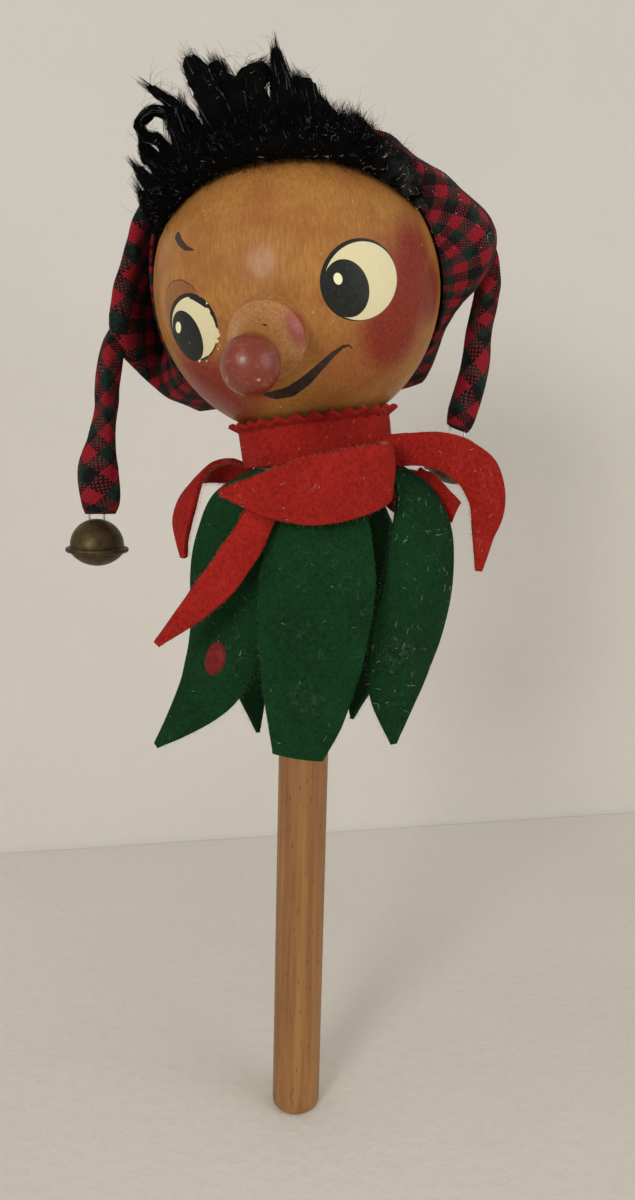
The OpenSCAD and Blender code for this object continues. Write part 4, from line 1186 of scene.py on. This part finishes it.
leaves = {node: felt_piece(node, green_felt, "green_felt", *shape) for node, shape in LEAVES.items()}

# %% [markdown]
# ## Button
# One worn button is left on the viewer's left leaf. It is a low oval dome, longer than wide, that lies flat
# on the felt.

# %% Button
BUTTON_SIZES = (3.3, 5.0, 1.6)
BUTTON_AT = sum((Vector(corner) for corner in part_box("leaf_button")), Vector()) / 2
BUTTON_OUT = Vector((-0.45, -0.85, 0.18)).normalized()

button_bm = bmesh.new()
bmesh.ops.create_uvsphere(button_bm, u_segments=40, v_segments=24, radius=1.0)
button_up = Vector((0.28, 0.06, 0.96))
button_side = button_up.cross(BUTTON_OUT).normalized()
button_up = BUTTON_OUT.cross(button_side).normalized()
for vert in button_bm.verts:
    a, b, c = (share * size * MM for share, size in zip(vert.co, BUTTON_SIZES))
    dent = 1 - 0.25 * math.exp(-((a * a + b * b) / (1.6 * MM) ** 2))
    vert.co = BUTTON_AT + button_side * a + button_up * b + BUTTON_OUT * (c * dent if c > 0 else c * 0.5)
bmesh.ops.recalc_face_normals(button_bm, faces=button_bm.faces)
put_on(to_object(button_bm, "button"), red_enamel, "head", "button_lacquer", "leaf_button")
print("button at", [round(v / MM, 1) for v in BUTTON_AT])

# %% Collar
OVER_BAND = 1.7
COLLAR = {
    "collar_front_point": ((47, 9, OVER_BAND - 0.4),
        [(18, -27, 5.4), (5, -32, 1.5), (-8, -32, -0.3), (-22.5, -30, -0.3)],
        [8, 14.5, 17, 12.5, 0.8], (0, 0, -1), 0.08),
    "collar_left_point": ((-27, 4, 2.6),
        [(-12, -28.4, -5), (-18.5, -30.8, -17), (-27, -32, -28), (-38.5, -32, -39.5)],
        [6, 7.4, 8.4, 7, 0.8], (0.76, 0, -0.65), 0.1),
    "collar_back_left_point": ((-96, 1, 1.2),
        [(-24, -1, 3), (-30.5, -3, -0.5), (-34.5, -4, -10), (-34.2, -4, -20.4)],
        [7, 8.5, 10.1, 8.6, 1.2],
        [(0, -0.5, 0.85), (0.2, -0.7, 0.7), (0.5, -0.75, 0.4), (0.6, -0.8, 0), (0.6, -0.8, 0)], 0.1),
    "collar_right_point": ((60, 11, OVER_BAND - 0.8),
        [(34, -13.5, 11.5), (44.5, -14, 6.8), (48.6, -13.5, -2.5), (48, -13, -11), (47.2, -13, -21)],
        [7, 9, 10.5, 9, 5.4, 0.8],
        [(0, 0, 1), (0.2, 0, 1), (0.7, 0, 0.7), (1, 0, 0.1), (1, 0, -0.1), (1, 0, 0)], 0.1),
    "collar_back_right_point": ((95, 3, 2), [(27.6, 0, 0), (31.8, -1.5, -2), (36.5, -3, -4), (42, -5, -6)],
        [8, 13, 14, 11, 5], [(0.1, 0, 1), (0.4, 0.1, 0.9)] + [(0.5, 0.1, 0.85)] * 3, 0.1),
}
collar = {node: felt_piece(node, red_felt, "red_felt", *shape) for node, shape in COLLAR.items()}

# %% [markdown]
# ## Pinked band
# The band of red felt hides the joint between head and neck. Its upper edge was cut with pinking shears and
# presses against the ball. The grid is closed round the neck, and the zigzag comes from lifting the points of
# its top rows.

# %% Pinked band
BAND_TEETH = 30
BAND_LOW, BAND_TOP = -46.4 * MM, -34.6 * MM
PINK_DEPTH = 1.0 * MM
BAND_IN = 18.9 * MM
BAND_THICK = 1.3 * MM
neck_turn = Matrix.Rotation(-NECK_LEAN, 4, "Y")


def band_point(s, t):
    tooth = 0.5 + 0.5 * math.cos(2 * math.pi * (s * BAND_TEETH + 0.2 * noise.noise(Vector((s * 25, 1, 1)))))
    high = BAND_LOW + (BAND_TOP - BAND_LOW) * t + PINK_DEPTH * tooth * max(0, t - 0.8) * 5
    turn = 2 * math.pi * s
    wave = noise.noise(Vector((math.sin(turn) * 2, math.cos(turn) * 2, t))) * 0.4 * MM * t
    out = BAND_IN + BAND_THICK + wave
    clear = (BALL_R + 0.3 * MM + BAND_THICK) ** 2 - high**2
    out = max(out, math.sqrt(max(0, clear)))
    return BALL + neck_turn @ Vector((out * math.sin(turn), -out * math.cos(turn), high))


band_round = 2 * math.pi * (BAND_IN + BAND_THICK)
band_bm = draped_grid(240, 20, band_point, (band_round, BAND_TOP - BAND_LOW), closed=True)
thicken(band_bm, BAND_THICK, edge=0.3 * MM)
band = put_on(to_object(band_bm, "pinked_band"), red_felt, "head", "red_felt", "neck_band")
print("band: faces", len(band.data.polygons))

# %% [markdown]
# ## Wool hair
# The hair is a strip of black wool pile glued in front of the hood, brushed up and worn into clumps. It is
# made in layers. A lumpy roll follows the hairline. Cores of tufts stand up from it where the real clumps do.
# Thousands of fine fibres run along the tufts and out of the roll, because only they give wool its streaks
# and its soft outline. A few long wisps and some pale lint come last.

# %% Wool roll
HAIR_LEFT, HAIR_RIGHT = -66, 50


def roll_point(s, t):
    around = HAIR_LEFT + (HAIR_RIGHT - HAIR_LEFT) * t
    edge = edge_angle(around)
    top = max(0.0, math.cos(math.radians(around * 1.2 + 8)))
    front = 3 + 11 * top**1.2
    low = BALL_R + 0.2 * MM
    high = BALL_R + (3.2 + 6.0 * top) * MM
    ends = math.sin(math.pi * min(0.5, 0.04 + 3 * t, 0.04 + 3 * (1 - t))) ** 0.6
    turn = 2 * math.pi * s
    away = edge + 0.5 + front * (0.5 - 0.5 * math.cos(turn)) * ends
    reach = low + (high - low) * (0.5 + 0.5 * math.sin(turn)) * ends
    lump = noise.noise(Vector((around * 0.16, s * 2, 3.1))) * 1.6 * MM * ends
    return BALL + hat_way(away, around) * (reach + lump * (0.5 + 0.5 * math.sin(turn)))


roll_bm = draped_grid(36, 150, roll_point, (0.03, 0.12), closed=True)
close_ends(roll_bm)
roll_faces = len(roll_bm.faces)

# %% Wool tufts
# Each tuft: the points that its middle runs through, and its widths, in millimetres
TUFTS = [
    ([(-29, -24, 282), (-31.5, -24, 288), (-36, -23, 292), (-41.5, -22, 295.8)], (7, 5, 3.4, 1.6)),
    ([(-20, -27, 280), (-24, -26, 288), (-28, -24, 296), (-31.6, -22, 302)], (10, 9, 8, 4.5)),
    ([(-17, -27, 281), (-19.5, -25, 290), (-23, -22, 297), (-25.9, -20, 302)], (10, 9.5, 8, 4.5)),
    ([(-13, -27, 282), (-15.5, -25, 291), (-16.5, -22, 298), (-13.2, -19, 302)], (10, 9.5, 8.5, 5)),
    ([(-7, -26, 284), (-8, -24, 292), (-9.5, -22, 299), (-10.8, -20, 306)], (11, 9.5, 6, 2.0)),
    ([(-1, -26, 283), (-2.5, -24, 290), (-4, -21, 296), (-6, -19, 299)], (10, 9.5, 8, 5)),
    ([(5, -25, 283), (3, -23, 288), (1, -20, 292), (-1, -18, 296)], (9, 8, 6, 3)),
    ([(11, -24, 281), (11, -22, 285), (10, -19, 289), (9, -16, 292)], (9, 8, 6, 3)),
    ([(-36, -22, 279), (-39, -22, 283.5), (-43, -21.5, 285), (-44.2, -21, 288), (-41, -21, 290.8),
      (-37, -22, 289.5), (-36, -23, 286)], (5, 3.2, 2.8, 2.8, 2.8, 3, 4)),
    ([(-37, -20, 276), (-40, -20, 279), (-42.8, -20, 281), (-43.6, -19, 284)], (7, 5, 4, 2.4)),
    ([(-38, -17, 270), (-41, -17, 274), (-44, -16, 276.5), (-46, -15, 279)], (6, 5, 4, 1.8)),
    ([(-31, -26, 278), (-33, -25, 284), (-34.5, -24, 288), (-34, -23, 291)], (8, 7, 5, 2.6)),
    ([(-40, -12, 264), (-42, -12, 268), (-44, -12, 271), (-46, -11, 274)], (5, 4.5, 4, 2)),
]
CORE_SHARE = 0.8


def tuft_bm(points, widths):
    """The core of one tuft, a lumpy tube round its path."""
    path = metres(points)
    widths = [w * CORE_SHARE for w in metres(widths)]

    def place(s, t):
        along = way_along(path, t)
        side = along.cross(Vector((0.1, 1, 0.05))).normalized()
        front = side.cross(along)
        turn = 2 * math.pi * s
        lumpy = 1 + 0.35 * noise.noise(Vector((s * 3, t * 4, path[0].x * 900)))
        wide = smooth_path(widths, t) / 2 * lumpy
        return smooth_path(path, t) + (side * math.cos(turn) + front * 0.8 * math.sin(turn)) * wide

    bm = draped_grid(14, 24, place, (0.02, 0.02), closed=True)
    close_ends(bm)
    return bm


for points, widths in TUFTS:
    tuft = tuft_bm(points, widths)
    mesh = bpy.data.meshes.new("tuft")
    tuft.to_mesh(mesh)
    tuft.free()
    roll_bm.from_mesh(mesh)
    bpy.data.meshes.remove(mesh)
roughen(roll_bm, 0.9 * MM, 2.2 * MM, 1)
roughen(roll_bm, 0.4 * MM, 0.9 * MM, 2)
hair = put_on(to_object(roll_bm, "wool_hair"), black_wool, "head", "black_wool", "hair_fringe")
print("hair: faces", len(hair.data.polygons), "of them in the roll", roll_faces)

# %% Wool fibres
FIBRE_R = 0.062 * MM


def fibre_curves(name, fibres, radius, material, slot):
    """One curve object with a tapering strand through each list of points."""
    data = bpy.data.curves.new(name, "CURVE")
    data.dimensions = "3D"
    data.bevel_depth = radius
    data.bevel_resolution = 0
    data.resolution_u = 1
    for points in fibres:
        spline = data.splines.new("POLY")
        spline.points.add(len(points) - 1)
        for k, (target, p) in enumerate(zip(spline.points, points)):
            target.co = (*p, 1.0)
            target.radius = 1.0 - 0.75 * k / (len(points) - 1)
    put_on(in_scene(name, data), material, "head", slot)
    print(name, "strands", len(fibres))


def loose(dice):
    return Vector((dice.gauss(0, 1), dice.gauss(0, 1), dice.gauss(0, 1)))


def strand_from(dice, point, way, length, curl, steps=3):
    """A strand that starts at a point, sets off one way and curls a little."""
    turn = loose(dice) * curl
    strand = [point]
    for _ in range(steps):
        point = point + way.normalized() * (length / steps)
        strand.append(point)
        way = way.normalized() + turn
    return strand


# %% Fibres of the tufts and of the roll
def along_tufts(count, seed):
    """Strands that follow the tufts, from anywhere inside them, and end past their outline."""
    dice = random.Random(seed)
    weights = [sum(widths) * len(points) for points, widths in TUFTS]
    strands = []
    for points, widths in dice.choices(TUFTS, weights, k=count):
        path, wide = metres(points), metres(widths)
        length = path_length(path)
        at = dice.uniform(0.0, 0.92)
        off = loose(dice)
        off = off.normalized() * 0.5 * dice.uniform(0.45, 1.0)
        reach = dice.uniform(3.0, 6.5) * MM
        drift = loose(dice) * 0.10
        strand = []
        for k in range(4):
            now = at + k / 3 * reach / length
            beyond = max(0.0, now - 1) * length
            end_way = (path[-1] - path[-2]).normalized()
            spread = off * smooth_path(wide, min(1, now)) * (1 + 0.1 * k) + drift * (k * 0.8 * MM)
            strand.append(smooth_path(path, min(1, now)) + end_way * beyond + spread)
        strands.append(strand)
    return strands


def out_of_roll(count, length, seed):
    """Strands that stand out of the roll, combed away from the face and up."""
    dice = random.Random(seed)
    faces = [p for p in hair.data.polygons[:roll_faces] if (p.center - BALL).length > BALL_R + 1.2 * MM]
    strands = []
    for face in dice.choices(faces, [p.area for p in faces], k=count):
        outward = (face.center - BALL).normalized()
        combed = Vector((outward.x, 0.15, max(0.0, outward.z))).normalized()
        way = face.normal * 0.5 + combed * 0.7 + loose(dice) * 0.32
        here = face.center - face.normal * 0.3 * MM
        shorter = 0.55 if here.x > 0.012 else 1.0
        strands.append(strand_from(dice, here, way, length * shorter * dice.uniform(0.4, 1.15), 0.28))
    return strands


fibre_curves("wool_fibres", along_tufts(8000, 11), FIBRE_R, black_wool, "black_wool")
fibre_curves("wool_fibres_low", out_of_roll(8000, 5.0 * MM, 12), FIBRE_R, black_wool, "black_wool")


# %% Wisps and lint
def wisps(count, seed):
    """Long thin strands that have come loose."""
    dice = random.Random(seed)
    faces = [p for p in hair.data.polygons if (p.center - BALL).length > BALL_R + 5 * MM]
    strands = []
    for face in dice.choices(faces, k=count):
        way = face.normal * 0.8 + Vector((0, -0.1, 0.5)) + loose(dice) * 0.4
        strands.append(strand_from(dice, face.center, way, dice.uniform(3.5, 8.5) * MM, 0.30, steps=7))
    return strands


# Grey strands among the black ones: painted sheen of the fibres that catch light.
grey = along_tufts(480, 15) + out_of_roll(620, 2.6 * MM, 16)
fibre_curves("wool_sheen_fibres", grey, FIBRE_R, painted_wool_sheen, "black_wool")
fibre_curves("wool_wisps", wisps(420, 13), 0.035 * MM, black_wool, "black_wool")


def paint_lint(place):
    tone = cloud(place, 0.003, detail=2)
    return {"Base Color": mix(tone.step(0.35, 0.65), "8d8d8c", "d6d4cf")}


pale_lint = finish("pale_lint", paint_lint, Roughness=0.9)


def lint_on(piece, count, seed, wanted, length):
    """Short pale threads that lie on a piece, on the faces that are wanted."""
    dice = random.Random(seed)
    faces = [p for p in piece.data.polygons if wanted(p)]
    if piece is hood:
        # Thickening leaves the hood's faces in another order on each run
        faces.sort(key=lambda p: tuple(p.center))
    strands = []
    for face in dice.choices(faces, [p.area for p in faces], k=count):
        flat = loose(dice)
        flat = flat - face.normal * flat.dot(face.normal)
        way = flat.normalized() + face.normal * 0.12
        strands.append(strand_from(dice, face.center, way, length * dice.uniform(0.4, 1.3), 0.35))
    return strands


def at_upper_right(face):
    return face.center.x > 0.018 and face.center.z > 0.262 and face.center.y < 0.012


on_hair = lint_on(hair, 220, 21, lambda p: p.normal.y < 0.3, 1.3 * MM)
on_hair += lint_on(hair, 170, 22, lambda p: p.normal.y < 0.4 and p.center.x > 0.002, 1.5 * MM)
on_hair += lint_on(hood, 170, 23, at_upper_right, 1.3 * MM)
fibre_curves("lint_on_hair", on_hair, 0.045 * MM, pale_lint, "black_wool")

# Threads of lint on the felt: the piece, how many, their length in millimetres
FELT_LINT = [
    (leaves["leaf_right"], 75, 1.8), (leaves["leaf_centre"], 16, 1.6), (leaves["leaf_left"], 14, 1.3),
    (collar["collar_right_point"], 18, 1.1), (collar["collar_front_point"], 10, 1.2), (band, 30, 1.1),
]
on_felt = []
for count_from, (piece, count, long) in enumerate(FELT_LINT):
    on_felt += lint_on(piece, count, 31 + count_from, lambda p: p.normal.y < -0.2, long * MM)
fibre_curves("lint_on_felt", on_felt, 0.04 * MM, pale_lint, "red_felt")

# %% [markdown]
# ## Fuzz
# Cut felt frays into short fibres along its edges. They are coloured paler than the felt as a painted
# highlight, the soft lighter line of light that the cut edges catch.

# %% Fuzz on the cut edges
for slot, places in felt_edges.items():
    dice = random.Random(len(places))
    frayed = []
    for point, way in places:
        for _ in range(2):
            start = point + loose(dice) * 0.3 * MM
            frayed.append(strand_from(dice, start, way + loose(dice) * 0.6, dice.uniform(0.3, 1.0) * MM, 0.4))
    fibre_curves("fuzz_on_" + slot, frayed, 0.032 * MM, fuzz_highlight_finishes[slot], slot)
